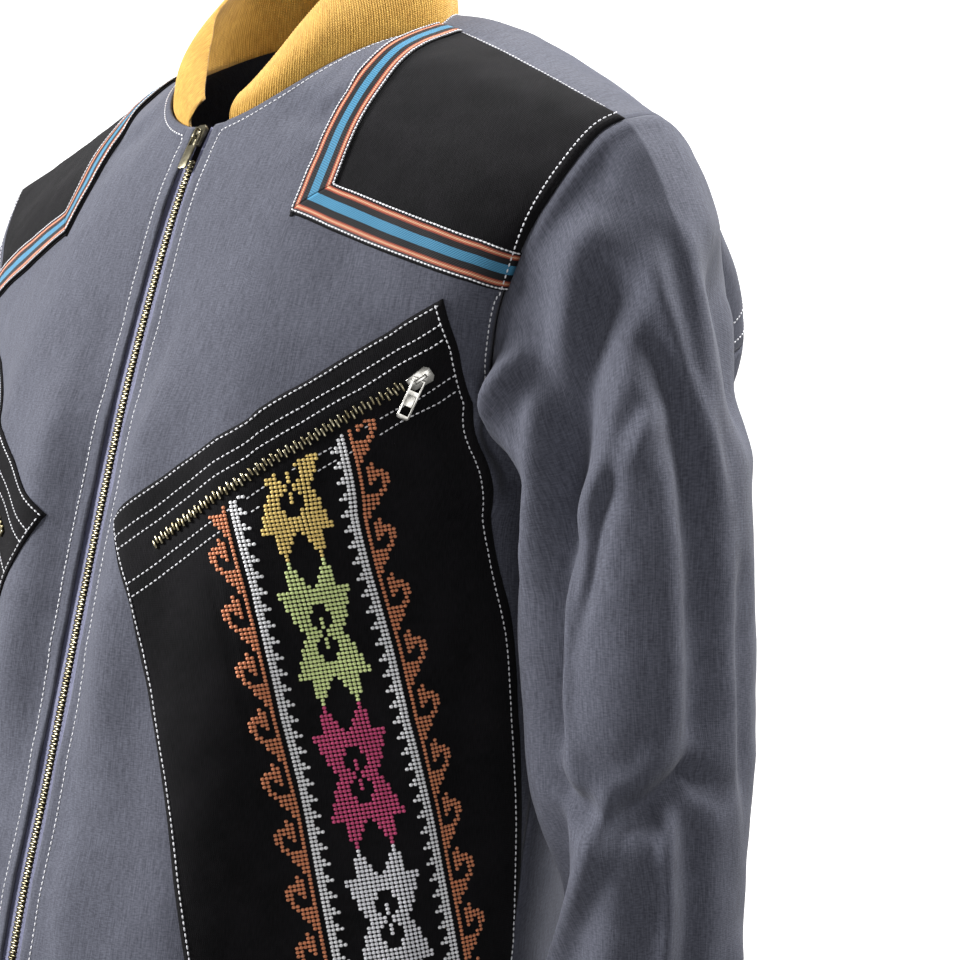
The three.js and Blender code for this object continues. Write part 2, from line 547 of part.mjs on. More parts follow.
// ---- shoulder patches and their ribbon ----
const frontView = frontGrid.map((line) => line.map((p) => ({ across: p.x, z: p.z })));
const round = roundDistances(frontGrid);
const flatCloth = frontGrid.map((line, r) => line.map((p, c) => ({ across: round[r][c], z: p.z })));
const upperFront = frontGrid.slice(0, UPPER_LINES + 1);
const patchLift = GAP;
const ribbonLift = GAP + PATCH + GAP;
const upright = SHOULDER_EDGES.upright;
const slant = SHOULDER_EDGES.slant;
// The mitre runs from the patch's corner through the crossing of the two inner ribbon edges.
const innerUpright = shifted(upright, RIBBON_WIDTH);
const innerSlant = shifted(slant, RIBBON_WIDTH);
function crossing([a, b], [c, d]) {
  const [rx, rz, sx, sz] = [b.across - a.across, b.z - a.z, d.across - c.across, d.z - c.z];
  const t = ((c.across - a.across) * sz - (c.z - a.z) * sx) / (rx * sz - rz * sx);
  return { across: a.across + rx * t, z: a.z + rz * t };
}
const mitre = [SHOULDER_CORNER, crossing(innerUpright, innerSlant)];
const shoulderPieces = {
  shoulder_patch: { edges: [upright, slant].map(leftOf), lift: patchLift, thickness: PATCH, material: blackCotton },
  ribbon_upright: {
    edges: [shifted(upright, 0.5), turned(innerUpright), shifted(mitre, GAP / 2)].map(leftOf),
    lift: ribbonLift, thickness: RIBBON, material: stripedRibbon,
  },
  ribbon_slant: {
    edges: [shifted(slant, 0.5), turned(innerSlant), shifted(turned(mitre), GAP / 2)].map(leftOf),
    lift: ribbonLift, thickness: RIBBON, material: stripedRibbon,
  },
};
for (const [name, piece] of Object.entries(shoulderPieces)) {
  addPair(name, cutFromPanel(upperFront, frontView, piece.edges, piece.lift, piece.thickness), piece.material);
}

// ---- pocket panels and their zips ----
addPair('pocket_panel', cutFromPanel(frontGrid, flatCloth, [
  leftOf(POCKET_TOP), leftOf(POCKET_HEM),
  ({ across, z }) => across - rowAt(POCKET_SIDES, 'z', z).inner,
  ({ across, z }) => rowAt(POCKET_SIDES, 'z', z).outer - across,
], patchLift, PATCH), blackCotton);
const zipWay = [POCKET_ZIP.from, POCKET_ZIP.to];
const crosswise = ({ across, z }) => {
  const [from, to] = zipWay;
  return [{ across, z }, { across: across - (to.z - from.z), z: z + (to.across - from.across) }];
};
addPair('pocket_zip', cutFromPanel(frontGrid, flatCloth, [
  shifted(zipWay, -POCKET_ZIP.width / 2), turned(shifted(zipWay, POCKET_ZIP.width / 2)),
  shifted(crosswise(POCKET_ZIP.to), SLIDER.length / 2 + GAP), turned(crosswise(POCKET_ZIP.from)),
].map(leftOf), ribbonLift, TEETH), brass);

// ---- main zip ----
// Centre front line from the neckline to the foot of the hem band, with its outward direction.
const centreFront = [...frontGrid, ...hemGrid.slice(1)].map((line) => line[0].clone().setX(0));
function strip(left, right, depth, thickness, line) {
  const grid = line.map((p, k) => {
    const before = line[Math.max(k - 1, 0)];
    const after = line[Math.min(k + 1, line.length - 1)];
    const down = after.clone().sub(before).setX(0).normalize();
    const out = down.cross(vec(1, 0, 0)).normalize();
    return [left, right].map((x) => vec(x, p.y, p.z).addScaledVector(out, -depth));
  });
  return wall(grid, thickness);
}
const tapeDepth = RIB + SEAM + GAP;
add('zip_tape_left', strip(CHAIN / 2 + GAP, TAPE_WIDTH, tapeDepth, TAPE, centreFront), zipTape);
add('zip_tape_right', strip(-TAPE_WIDTH, -CHAIN / 2 - GAP, tapeDepth, TAPE, centreFront), zipTape);
add('zip_teeth', strip(-CHAIN / 2, CHAIN / 2, CLOTH - 0.1, 2 * TEETH, centreFront.slice(1)), brass);

// ---- sliders and pull tabs ----
const shape = (points) => new THREE.Shape(points.map(([x, y]) => new THREE.Vector2(x, y)));
const hole = (points) => new THREE.Path(points.map(([x, y]) => new THREE.Vector2(x, y)));
const extruded = (outline, depth) =>
  new THREE.ExtrudeGeometry(outline, { depth, bevelEnabled: false, curveSegments: 6 });
function toSolid(geometry) {
  const bare = geometry.clone();
  bare.deleteAttribute('normal');
  bare.deleteAttribute('uv');
  const merged = mergeVertices(bare, 1e-5);
  const vertProperties = merged.getAttribute('position').array;
  const triVerts = new Uint32Array(merged.getIndex().array);
  return new wasm.Manifold(new wasm.Mesh({ numProp: 3, vertProperties, triVerts }));
}
function fromSolid(body) {
  const { vertProperties, triVerts } = body.getMesh();
  const geometry = new THREE.BufferGeometry();
  geometry.setAttribute('position', new THREE.BufferAttribute(new Float32Array(vertProperties), 3));
  geometry.setIndex(new THREE.BufferAttribute(new Uint32Array(triVerts), 1));
  geometry.computeVertexNormals();
  return geometry;
}

// Slider with the bridge that holds the pull: x across the zip, y along it, z out of the cloth.
const inBridge = BRIDGE.length / 2 - BRIDGE.bar;
function sliderSolid() {
  const { head, foot, length, thickness, corner } = SLIDER;
  const plate = extruded(shape([
    [-head / 2, length / 2 - corner], [-foot / 2, -length / 2],
    [foot / 2, -length / 2], [head / 2, length / 2 - corner],
    [head / 2 - corner, length / 2], [-head / 2 + corner, length / 2],
  ]), thickness);
  const low = -thickness / 2;
  const side = shape([[-BRIDGE.length / 2, low], [BRIDGE.length / 2, low],
    [BRIDGE.length / 2, BRIDGE.height], [-BRIDGE.length / 2, BRIDGE.height]]);
  side.holes.push(hole([[-inBridge, 0], [-inBridge, BRIDGE.height - BRIDGE.bar],
    [inBridge, BRIDGE.height - BRIDGE.bar], [inBridge, 0]]));
  const bridge = extruded(side, BRIDGE.width).translate(0, 0, -BRIDGE.width / 2);
  bridge.applyMatrix4(new THREE.Matrix4().makeBasis(vec(0, 1, 0), vec(0, 0, 1), vec(1, 0, 0)));
  bridge.translate(0, 0, thickness);
  return fromSolid(toSolid(plate).add(toSolid(bridge)));
}

// Pull tab hanging from its crossbar: x along the crossbar, which is the hinge, -y down the tab.
function pullSolid(windowed) {
  const { width, thickness, arm, eye, length, foot } = PULL;
  const half = width / 2;
  const tab = new THREE.Shape();
  tab.moveTo(-half, arm / 2);
  tab.lineTo(-half, -length + foot);
  tab.absarc(-half + foot, -length + foot, foot, Math.PI, 1.5 * Math.PI, false);
  tab.absarc(half - foot, -length + foot, foot, 1.5 * Math.PI, 2 * Math.PI, false);
  tab.lineTo(half, arm / 2);
  const inside = half - arm;
  tab.holes.push(hole([[-inside, -arm / 2], [inside, -arm / 2], [inside, -eye], [-inside, -eye]]));
  if (windowed) {
    tab.holes.push(hole([[-inside, -eye - 2 * arm], [inside, -eye - 2 * arm],
      [inside, -length + 2 * arm], [-inside, -length + 2 * arm]]));
  }
  return extruded(tab, thickness).translate(0, 0, -thickness / 2);
}

// Both in place: origin on the cloth, `up` along the zip, `out` away from the cloth, the pull turned by swing.
function placeZipHead({ origin, up, out, lift, swing, windowed }) {
  const along = up.clone().addScaledVector(out, -up.dot(out)).normalize();
  const frame = new THREE.Matrix4().makeBasis(along.clone().cross(out), along, out).setPosition(origin);
  const raised = new THREE.Matrix4().makeTranslation(0, 0, lift);
  const angle = THREE.MathUtils.degToRad(swing);
  const fromPost = BRIDGE.width / 2 * Math.tan(angle) + PULL.arm / 2 / Math.cos(angle) + BRIDGE.play;
  const hingeHeight = SLIDER.thickness + BRIDGE.play + PULL.arm / 2;
  const hinge = new THREE.Matrix4().makeTranslation(0, fromPost - inBridge, hingeHeight);
  const turn = new THREE.Matrix4().makeRotationZ(angle);
  const slider = sliderSolid().applyMatrix4(raised).applyMatrix4(frame);
  const pull = pullSolid(windowed).applyMatrix4(turn).applyMatrix4(hinge).applyMatrix4(raised).applyMatrix4(frame);
  return { slider, pull };
}

// Place on a panel: the point and outward direction at a spot on the flat cloth.
function onPanel(grid, places, spot) {
  const normals = gridNormals(grid);
  for (let r = 0; r < grid.length - 1; r++) {
    for (let c = 0; c < grid[0].length - 1; c++) {
      const [low, high] = [places[r + 1][c], places[r][c + 1]];
      if (spot.across < low.across || spot.across > high.across || spot.z > places[r][c].z || spot.z < low.z) continue;
      const s = (spot.across - low.across) / (high.across - low.across);
      const t = (places[r][c].z - spot.z) / (places[r][c].z - low.z);
      const onLine = (line) => line[c].clone().lerp(line[c + 1], s);
      const cellMix = (a) => onLine(a[r]).lerp(onLine(a[r + 1]), t);
      return { point: cellMix(grid), normal: cellMix(normals).normalize() };
    }
  }
  throw new Error('the spot is not on the panel');
}

const high = onPanel(frontGrid, flatCloth, POCKET_ZIP.to);
const lower = onPanel(frontGrid, flatCloth, POCKET_ZIP.from);
const pocketHead = placeZipHead({
  origin: high.point, out: high.normal, up: high.point.clone().sub(lower.point),
  lift: ribbonLift, swing: PULL.swing,
  windowed: true,
});
addPair('pocket_slider', pocketHead.slider, nickel);
addPair('pocket_pull', pocketHead.pull, nickel);

const [zipTop, nextDown] = centreFront;
const rise = zipTop.clone().sub(nextDown).normalize();
const mainHead = placeZipHead({
  origin: zipTop.clone().lerp(nextDown, 0.45), out: vec(1, 0, 0).cross(rise), up: rise,
  lift: -1, swing: 0, windowed: false,
});
add('zip_slider', mainHead.slider, brass);
add('zip_pull', mainHead.pull, brass);

export default jacket;
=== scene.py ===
import json
import math
from collections import namedtuple

import bmesh
import bpy
import numpy as np
from mathutils import Matrix, Vector, noise


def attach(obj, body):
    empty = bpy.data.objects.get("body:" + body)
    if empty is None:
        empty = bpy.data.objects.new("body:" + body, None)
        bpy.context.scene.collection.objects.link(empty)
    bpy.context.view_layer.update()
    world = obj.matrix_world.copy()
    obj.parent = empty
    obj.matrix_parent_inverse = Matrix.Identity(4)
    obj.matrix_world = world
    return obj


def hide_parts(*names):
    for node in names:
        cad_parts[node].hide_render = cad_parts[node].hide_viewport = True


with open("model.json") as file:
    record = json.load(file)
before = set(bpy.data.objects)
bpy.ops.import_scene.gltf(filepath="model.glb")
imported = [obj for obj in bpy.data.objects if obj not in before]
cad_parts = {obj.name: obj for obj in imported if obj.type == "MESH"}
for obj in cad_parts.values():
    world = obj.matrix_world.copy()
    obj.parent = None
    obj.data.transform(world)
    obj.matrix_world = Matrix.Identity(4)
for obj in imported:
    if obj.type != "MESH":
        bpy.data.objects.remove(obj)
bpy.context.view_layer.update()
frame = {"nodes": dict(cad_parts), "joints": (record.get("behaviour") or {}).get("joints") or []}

# ---- Viewpoint and studio ----
# The jacket is seen close up from its wearer's left front, at chest height. A pale floor lies where the
# wearer would stand, and large soft lights hang above and in front.
MM = 0.001                      # every size below is in millimetres, and every mesh in metres


def linear(hexcode):
    """The linear colour of an sRGB hex value."""
    parts = [int(hexcode[i:i + 2], 16) / 255 for i in (1, 3, 5)]
    return [c / 12.92 if c <= 0.04045 else ((c + 0.055) / 1.055) ** 2.4 for c in parts] + [1.0]


def add_node(tree, kind, links=None, **settings):
    """A shader node with its settings. `links` gives each socket a value or the socket that feeds it."""
    new = tree.nodes.new(kind)
    for key, value in settings.items():
        setattr(new, key, value)
    for socket, value in (links or {}).items():
        if isinstance(value, bpy.types.NodeSocket):
            tree.links.new(value, new.inputs[socket])
        else:
            new.inputs[socket].default_value = value
    return new


def new_material(name, roughness, metallic=0.0, gloss=0.5):
    """A material with one Principled shader: the material, its tree and the shader."""
    material = bpy.data.materials.new(name)
    material.use_nodes = True
    tree = material.node_tree
    tree.nodes.clear()
    shader = add_node(tree, "ShaderNodeBsdfPrincipled", {"Roughness": roughness, "Metallic": metallic,
                                                           "Specular IOR Level": gloss})
    out = add_node(tree, "ShaderNodeOutputMaterial")
    tree.links.new(shader.outputs[0], out.inputs[0])
    return material, tree, shader


EYE = Vector((888.35, -811.67, -229.21))
YAW, TILT, ROLL = (math.radians(a) for a in (43.0, -0.84, 1.2))
forward = Vector((-math.sin(YAW) * math.cos(TILT), math.cos(YAW) * math.cos(TILT), math.sin(TILT)))
level = Vector((math.cos(YAW), math.sin(YAW), 0))
upward = level.cross(forward)
right = level * math.cos(ROLL) + upward * math.sin(ROLL)
upright = upward * math.cos(ROLL) - level * math.sin(ROLL)
camera = bpy.data.objects.new("camera", bpy.data.cameras.new("camera"))
camera.matrix_world = Matrix((right, upright, -forward)).transposed().to_4x4()
camera.location = EYE * MM
camera.data.sensor_width = 36
camera.data.lens = 78.75
bpy.context.scene.collection.objects.link(camera)
bpy.context.scene.camera = camera

world = bpy.data.worlds.new("studio")
world.use_nodes = True
world.node_tree.nodes["Background"].inputs["Color"].default_value = (1, 1, 1, 1)
world.node_tree.nodes["Background"].inputs["Strength"].default_value = 0.26
bpy.context.scene.world = world
bpy.context.scene.view_settings.view_transform = "Standard"


def soft_light(name, place, aim, width, power):
    """A square area light at a place, turned to its aim, both in metres."""
    lamp = bpy.data.lights.new(name, "AREA")
    lamp.size = width
    lamp.energy = power
    light = bpy.data.objects.new(name, lamp)
    light.location = place
    light.rotation_euler = (Vector(aim) - Vector(place)).to_track_quat("-Z", "Y").to_euler()
    bpy.context.scene.collection.objects.link(light)


soft_light("key", (-1.55, -1.75, 0.6), (0.05, -0.1, -0.28), 0.9, 138)
soft_light("fill", (1.2, -1.2, -0.6), (0.2, -0.05, -0.5), 0.8, 7)
soft_light("top", (0.35, 0.65, 1.8), (0.15, 0, -0.1), 0.7, 80)
soft_light("edge", (1.35, 1.15, 0.8), (0.25, 0, -0.2), 0.7, 40)

# The floor meets a round pale wall behind the jacket, which gives off a little light of its own.
FLOOR = -1600
WALL = 3.0
bm = bmesh.new()
bmesh.ops.create_cone(bm, cap_ends=True, segments=64, radius1=WALL, radius2=WALL, depth=WALL)
bmesh.ops.translate(bm, verts=bm.verts, vec=(0, 0, WALL / 2 + FLOOR * MM))
unseen = [face for face in bm.faces if face.normal.z > 0.5 or face.normal.dot(forward) < 0.7]
bmesh.ops.delete(bm, geom=unseen, context="FACES_ONLY")
bmesh.ops.reverse_faces(bm, faces=bm.faces)
sweep_mesh = bpy.data.meshes.new("studio_sweep")
bm.to_mesh(sweep_mesh)
bm.free()
sweep = bpy.data.objects.new("studio_sweep", sweep_mesh)
bpy.context.scene.collection.objects.link(sweep)
pale_paint, _, paint_shader = new_material("pale matt studio paint", 0.9)
paint_shader.inputs["Base Color"].default_value = linear("#f4f4f4")
paint_shader.inputs["Emission Color"].default_value = linear("#ffffff")
paint_shader.inputs["Emission Strength"].default_value = 0.6
sweep_mesh.materials.append(pale_paint)

# ---- Fronts ----
# Two cotton chambray panels from shoulder to hem band, each turned under at the zip and lockstitched beside
# it. The cloth is yarn-dyed plain weave, dark warp and pale weft, 1.5 mm thick at its folds. The tables
# give its rings.
CLOTH = 1.5
SEAM = 0.6
TURNED_SEAM = 1.8
ZIP_OPENING = 8
NECK = 0.5
UNDERARM = 6
HEM = 11
GRID = 10                       # facets of the solid's half panel from centre to side
LINES = 17                      # and its lines from top to hem
UNDERARM_LINE = 10
LINE_DEPTH = 30
HALF_GIRTH = 265                # of a front or half the back, at the chest
ShellRow = namedtuple("ShellRow", "centre_y centre_z mid_x mid_y mid_z side_x side_y side_z bend")
FRONT_ROWS = [ShellRow(*row) for row in (
    (-4, 9, 88, 6, 0, 247, -28, -69, 0),
    (-64, -27, 90, -36, -20, 238, -38, -78, 0.2),
    (-84, -58, 92, -70, -56, 226, -55, -106, 0.5),
    (-101, -95, 94, -97, -102, 212, -62, -134, 0.8),
    (-117, -142, 98, -118, -148, 199, -64, -172, 1),
    (-134, -200, 106, -134, -203, 189, -49, -215, 1),
    (-149, -262, 116, -143, -262, 190, -5, -262, 1),
    (-165, -332, 118, -145, -332, 190, -9, -332, 1),
    (-180, -400, 118, -151, -400, 189, -18, -400, 1),
    (-196, -470, 118, -160, -470, 190, -32, -470, 1),
    (-206, -540, 118, -168, -540, 192, -42, -540, 1),
    (-206, -608, 113, -166, -608, 184, -46, -608, 1),
)]
BACK_ROWS = [ShellRow(*row) for row in (
    (-4, 9, 88, 6, 0, 247, -28, -69, 0),
    (52, 6, 92, 34, 9, 246, 2, -64, 0.2),
    (84, -16, 98, 68, 0, 236, 38, -76, 0.5),
    (106, -52, 106, 98, -36, 220, 74, -100, 0.8),
    (126, -108, 114, 124, -96, 208, 104, -140, 1),
    (138, -180, 120, 136, -174, 201, 96, -198, 1),
    (144, -262, 122, 132, -262, 190, -5, -262, 1),
    (138, -332, 120, 126, -332, 190, -9, -332, 1),
    (124, -400, 116, 112, -400, 189, -18, -400, 1),
    (112, -470, 114, 100, -470, 190, -32, -470, 1),
    (106, -540, 114, 93, -540, 192, -42, -540, 1),
    (98, -608, 108, 86, -608, 184, -46, -608, 1),
)]
Fold = namedtuple("Fold", "round0 z0 round1 z1 width height")      # a trough where the height is negative
SHELL_FOLDS = [Fold(*fold) for fold in (
    (150, -300, 176, -560, 30, -5), (95, -330, 110, -590, 26, 4), (40, -190, 46, -400, 24, 10),
)]
Crease = namedtuple("Crease", "width height course")               # its course goes through (round, z) places
FRONT_CREASES = [Crease(*crease) for crease in (
    (6, 5, ((214, -186), (222, -208), (226, -228), (236, -250), (246, -264))),
    (7, -6, ((224, -206), (236, -226), (246, -240), (250, -262))),
    (13, -1.8, ((118, -126), (150, -150), (196, -180))),
    (9, 1.6, ((60, -34), (92, -44), (122, -30))),
    (8, -1.4, ((46, -52), (84, -58), (118, -44))),
    (12, -1.6, ((24, -140), (28, -230), (36, -330))),
    (10, 1.3, ((40, -200), (34, -290), (44, -400))),
    (15, 2.2, ((30, -420), (44, -510), (60, -602))),
    (10, -1.5, ((16, -330), (20, -430), (30, -560))),
    (12, -2.5, ((228, -300), (234, -370), (240, -450))),
    (14, 2.3, ((208, -330), (214, -430), (222, -530))),
    (12, 2.2, ((244, -420), (250, -500), (254, -595))),
    (14, -1.2, ((60, -330), (68, -400), (76, -480))),
    (16, -2.4, ((150, -480), (158, -540), (170, -602))),
)]


def smooth(start, end, x):
    """0 before start, 1 after end, with a soft step between them."""
    t = np.clip((np.asarray(x, float) - start) / (end - start), 0, 1)
    return t * t * (3 - 2 * t)


def hump(away, width):
    """A soft round ridge: 1 at its middle, fading within about two widths."""
    return np.exp(-(away / width) ** 2)


def unit(vectors):
    """The vectors, each one long."""
    return vectors / np.linalg.norm(vectors, axis=-1, keepdims=True)


def distances(points, axis):
    """Length along a line or grid of points from its first row or column."""
    steps = np.linalg.norm(np.diff(points, axis=axis), axis=-1)
    return np.concatenate([np.zeros_like(np.take(steps, [0], axis)), np.cumsum(steps, axis)], axis)


def edge_fade(u):
    """Large folds fade out towards the centre line and the side seam."""
    return smooth(0, 0.12, u) * (1 - smooth(0.88, 1, u))


def between(p0, p1, p2, p3, t):
    """Point on the smooth curve through four points, between the second and the third."""
    return 0.5 * (2 * p1 + (p2 - p0) * t + (2 * p0 - 5 * p1 + 4 * p2 - p3) * t ** 2
                  + (3 * p1 - p0 - 3 * p2 + p3) * t ** 3)


def row_points(rows, others, u):
    """Points at u (0 centre, 1 side) on every row of the left half, as [row][place][xyz]."""
    centre = np.array([(0, r.centre_y, r.centre_z) for r in rows], float)[:, None]
    mid = np.array([(r.mid_x, r.mid_y, r.mid_z) for r in rows], float)[:, None]
    side = np.array([(r.side_x, r.side_y, r.side_z) for r in rows], float)[:, None]
    other = np.array([(r.mid_x, r.mid_y, r.mid_z) for r in others], float)[:, None]
    bend = np.array([r.bend for r in rows], float)[:, None, None]
    beyond = (2 * side - mid) * (1 - bend) + other * bend
    u = np.asarray(u, float)[None, :, None]
    inner = between(mid * (-1, 1, 1), centre, mid, side, u / NECK)
    outer = between(centre, mid, side, beyond, (u - NECK) / (1 - NECK))
    return np.where(u < NECK, inner, outer)


def shell_points(rows, others, u, v):
    """Points of the left half of the shell at u across and row number v, for two arrays of one shape."""
    shape = np.shape(u)
    u, v = np.ravel(u).astype(float), np.ravel(v).astype(float)
    table, partner = row_points(rows, others, u), row_points(others, rows, u)
    i = np.minimum(np.floor(v).astype(int), len(rows) - 2)
    n = np.arange(len(u))

    def at(points, k):
        return points[np.clip(k, 0, len(rows) - 1), n]

    share = (0.5 * smooth(0.5, 1, u) * (i == UNDERARM))[:, None]
    before = at(table, i - 1) * (1 - share) + at(partner, i - 1) * share
    found = between(before, at(table, i), at(table, i + 1), at(table, i + 2), (v - i)[:, None])
    return found.reshape(*shape, 3)


def shell_normals(rows, others, u, v):
    """Outward normals of the left half of the front; a back's point inwards."""
    step = 0.05
    down = shell_points(rows, others, u, v + step) - shell_points(rows, others, u, v - step)
    across = shell_points(rows, others, u + step, v) - shell_points(rows, others, u - step, v)
    return unit(np.cross(down, across))


def fold_height(folds, around, z):
    """Height of the folds at places on the flat cloth."""
    height = np.zeros(np.shape(around))
    for f in folds:
        dx, dz = f.round1 - f.round0, f.z1 - f.z0
        t = ((around - f.round0) * dx + (z - f.z0) * dz) / (dx * dx + dz * dz)
        away = np.hypot(around - f.round0 - dx * t, z - f.z0 - dz * t)
        ends = smooth(-0.15, 0.25, t) * (1 - smooth(0.7, 1.15, t))
        height = height + f.height * ends * hump(away, f.width)
    return height


def crease_height(creases, around, z):
    """Height of the creases, which fade out towards both ends of their courses."""
    height = np.zeros(np.shape(around))
    for crease in creases:
        course = np.array(crease.course, float)
        run = distances(course, 0)
        nearest, reached = np.full(np.shape(around), 1e9), np.zeros(np.shape(around))
        for (x0, z0), (x1, z1), start, end in zip(course[:-1], course[1:], run[:-1], run[1:]):
            dx, dz = x1 - x0, z1 - z0
            t = np.clip(((around - x0) * dx + (z - z0) * dz) / (dx * dx + dz * dz), 0, 1)
            away = np.hypot(around - x0 - dx * t, z - z0 - dz * t)
            reached = np.where(away < nearest, start + t * (end - start), reached)
            nearest = np.minimum(nearest, away)
        length = run[-1]
        rising = smooth(0, min(26, 0.3 * length), reached)
        falling = smooth(0, min(48, 0.35 * length), length - reached)
        height = height + crease.height * rising * falling * hump(nearest, crease.width)
    return height


def ruffle(points, size, seed):
    """Small unevenness of worn cloth, from -1 to 1, in lumps of about `size`."""
    flat = points.reshape(-1, 3)
    values = [noise.noise(Vector(p) / size + Vector((seed, 0, 0))) for p in flat]
    return np.array(values).reshape(points.shape[:-1])


def outward(points, closed=False):
    """Outward normals of a grid of points whose rows run down and whose columns run round."""
    down = np.gradient(points, axis=0)
    if closed:
        ring = points[:, :-1]
        across = np.roll(ring, -1, axis=1) - np.roll(ring, 1, axis=1)
        across = np.concatenate([across, across[:, :1]], axis=1)
    else:
        across = np.gradient(points, axis=1)
    normal = np.cross(down, across)
    return normal / np.maximum(np.linalg.norm(normal, axis=-1, keepdims=True), 1e-9)


def front_rows(u, line):
    """Row numbers of the front's lines, which run from neckline and shoulder to hem."""
    top = np.where(u >= NECK, 0, 1.98 * (1 - np.minimum(u / NECK, 1) ** 2.3) ** 0.62)
    above = top + (UNDERARM - top) * line / UNDERARM_LINE
    below = UNDERARM + (line - UNDERARM_LINE) * (HEM - UNDERARM) / (LINES - UNDERARM_LINE)
    return np.where(line < UNDERARM_LINE, above, below)


def front_grid(columns, lines):
    """The bare front at columns (0 zip edge, 10 side) and lines, with u, v, column and line at each."""
    column, line = np.meshgrid(columns, lines)
    v = front_rows(column / GRID, line)
    mids = np.array([row.mid_x for row in FRONT_ROWS])
    edge = NECK * ZIP_OPENING / mids[np.clip(np.round(v).astype(int), 0, HEM)]
    u = np.where(column < 1, edge + (1 / GRID - edge) * column, column / GRID)
    points = shell_points(FRONT_ROWS, BACK_ROWS, u, v)
    points[:, 0, 0] = ZIP_OPENING
    return points, u, v, column, line


def round_distances(points):
    """Distance round the body from the centre line to each point of a half panel."""
    steps = np.hypot(np.diff(points[..., 0], axis=1), np.diff(points[..., 1], axis=1))
    return np.concatenate([np.abs(points[:, :1, 0]), np.abs(points[:, :1, 0]) + np.cumsum(steps, 1)], 1)


def bilinear(table, columns, lines):
    """A table of the solid's own grid read between its corners."""
    c = np.clip(np.floor(columns).astype(int), 0, table.shape[1] - 2)
    r = np.clip(np.floor(lines).astype(int), 0, table.shape[0] - 2)
    s, t = columns - c, lines - r
    if table.ndim == 3:
        s, t = s[..., None], t[..., None]
    top = table[r, c] * (1 - s) + table[r, c + 1] * s
    return top * (1 - t) + (table[r + 1, c] * (1 - s) + table[r + 1, c + 1] * s) * t


solid_front, solid_u, solid_v, _, _ = front_grid(np.arange(GRID + 1.0), np.arange(LINES + 1.0))
solid_relief = fold_height(SHELL_FOLDS, round_distances(solid_front), solid_front[..., 2])
solid_relief = solid_relief * edge_fade(solid_u)
solid_front = solid_front + shell_normals(FRONT_ROWS, BACK_ROWS, solid_u, solid_v) * solid_relief[..., None]
front_round = round_distances(solid_front)
front_height = solid_front[..., 2]
front_across = solid_front[..., 0]

FINE_COLUMNS, FINE_LINES = 100, 170
fine_columns = np.linspace(0, GRID, FINE_COLUMNS + 1)
fine_lines = np.linspace(0, LINES, FINE_LINES + 1)
front, front_u, front_v, front_column, front_line = front_grid(fine_columns, fine_lines)
flat_round = bilinear(front_round, front_column, front_line)
flat_height = bilinear(front_height, front_column, front_line)
in_seams = smooth(0, 0.8, front_line) * (1 - smooth(16, 17, front_line)) * (1 - smooth(0.95, 1, front_u))
worn_in = 0.9 * ruffle(front, 42, 3) + 0.35 * ruffle(front, 15, 8)
front_relief = edge_fade(front_u) * fold_height(SHELL_FOLDS, flat_round, flat_height)
front_relief = front_relief + in_seams * (crease_height(FRONT_CREASES, flat_round, flat_height) + worn_in)
# The turned edge beside the zip swells a little, is held down by its stitching and puckers there.
from_zip = flat_round - ZIP_OPENING
pucker = 0.45 + 0.16 * np.sin(flat_height / 3.7) * np.sin(flat_height / 11.3 + 1)
front_relief = front_relief - pucker * hump(from_zip - 7.5, 2.0) - 0.5 * hump(from_zip, 0.9)
front_relief = front_relief - 0.3 * hump((1 - front_u) * HALF_GIRTH, 1.6)
front_relief = front_relief - 0.5 * hump(front_line * LINE_DEPTH, 1.6)
front = front + shell_normals(FRONT_ROWS, BACK_ROWS, front_u, front_v) * front_relief[..., None]
front[:, 0, 0] = ZIP_OPENING
front_normals = outward(front)


def find_place(across_table, across, z):
    """Column and line of a place on the left front, given across (round or x) and its height."""
    column, line = 5.0, 8.0
    for _ in range(14):
        k = min(int(column), GRID - 1)
        f = column - k
        heights = front_height[:, k] * (1 - f) + front_height[:, k + 1] * f
        line = float(np.interp(-z, -heights, np.arange(LINES + 1)))
        j = min(int(line), LINES - 1)
        g = line - j
        rounds = across_table[j] * (1 - g) + across_table[j + 1] * g
        column = float(np.interp(across, rounds, np.arange(GRID + 1)))
    return column, line


def on_front(places, lift):
    """Points and normals over the left front's cloth at (column, line) places, moved out by `lift`."""
    places = np.asarray(places, float)
    columns = places[..., 0] * FINE_COLUMNS / GRID
    lines = places[..., 1] * FINE_LINES / LINES
    normals = unit(bilinear(front_normals, columns, lines))
    return bilinear(front, columns, lines) + normals * np.asarray(lift)[..., None], normals


MEETING = 0.002                 # points nearer than this are one


def cloth_sheet(points, flat=None, closed=False):
    """A grid mesh whose corners take the places of `points`, its UV map in metres of flat cloth.

    A closed one has its first and last points joined where they meet.
    """
    rows, columns = points.shape[0] - 1, points.shape[1] - 1
    if flat is None:
        flat = np.stack([distances(points, 1), -distances(points, 0)], -1)
    bm = bmesh.new()
    layer = bm.loops.layers.uv.new("flat_cloth")
    bmesh.ops.create_grid(bm, x_segments=columns, y_segments=rows, size=0.5, calc_uvs=True)
    corner = {}
    for vert in bm.verts:
        r, c = round((0.5 - vert.co.y) * rows), round((vert.co.x + 0.5) * columns)
        corner[vert] = flat[r, c] * MM
        vert.co = points[r, c] * MM
    for face in bm.faces:
        for loop in face.loops:
            loop[layer].uv = corner[loop.vert]
    if closed:
        bmesh.ops.remove_doubles(bm, verts=bm.verts, dist=MEETING * MM)
    return bm


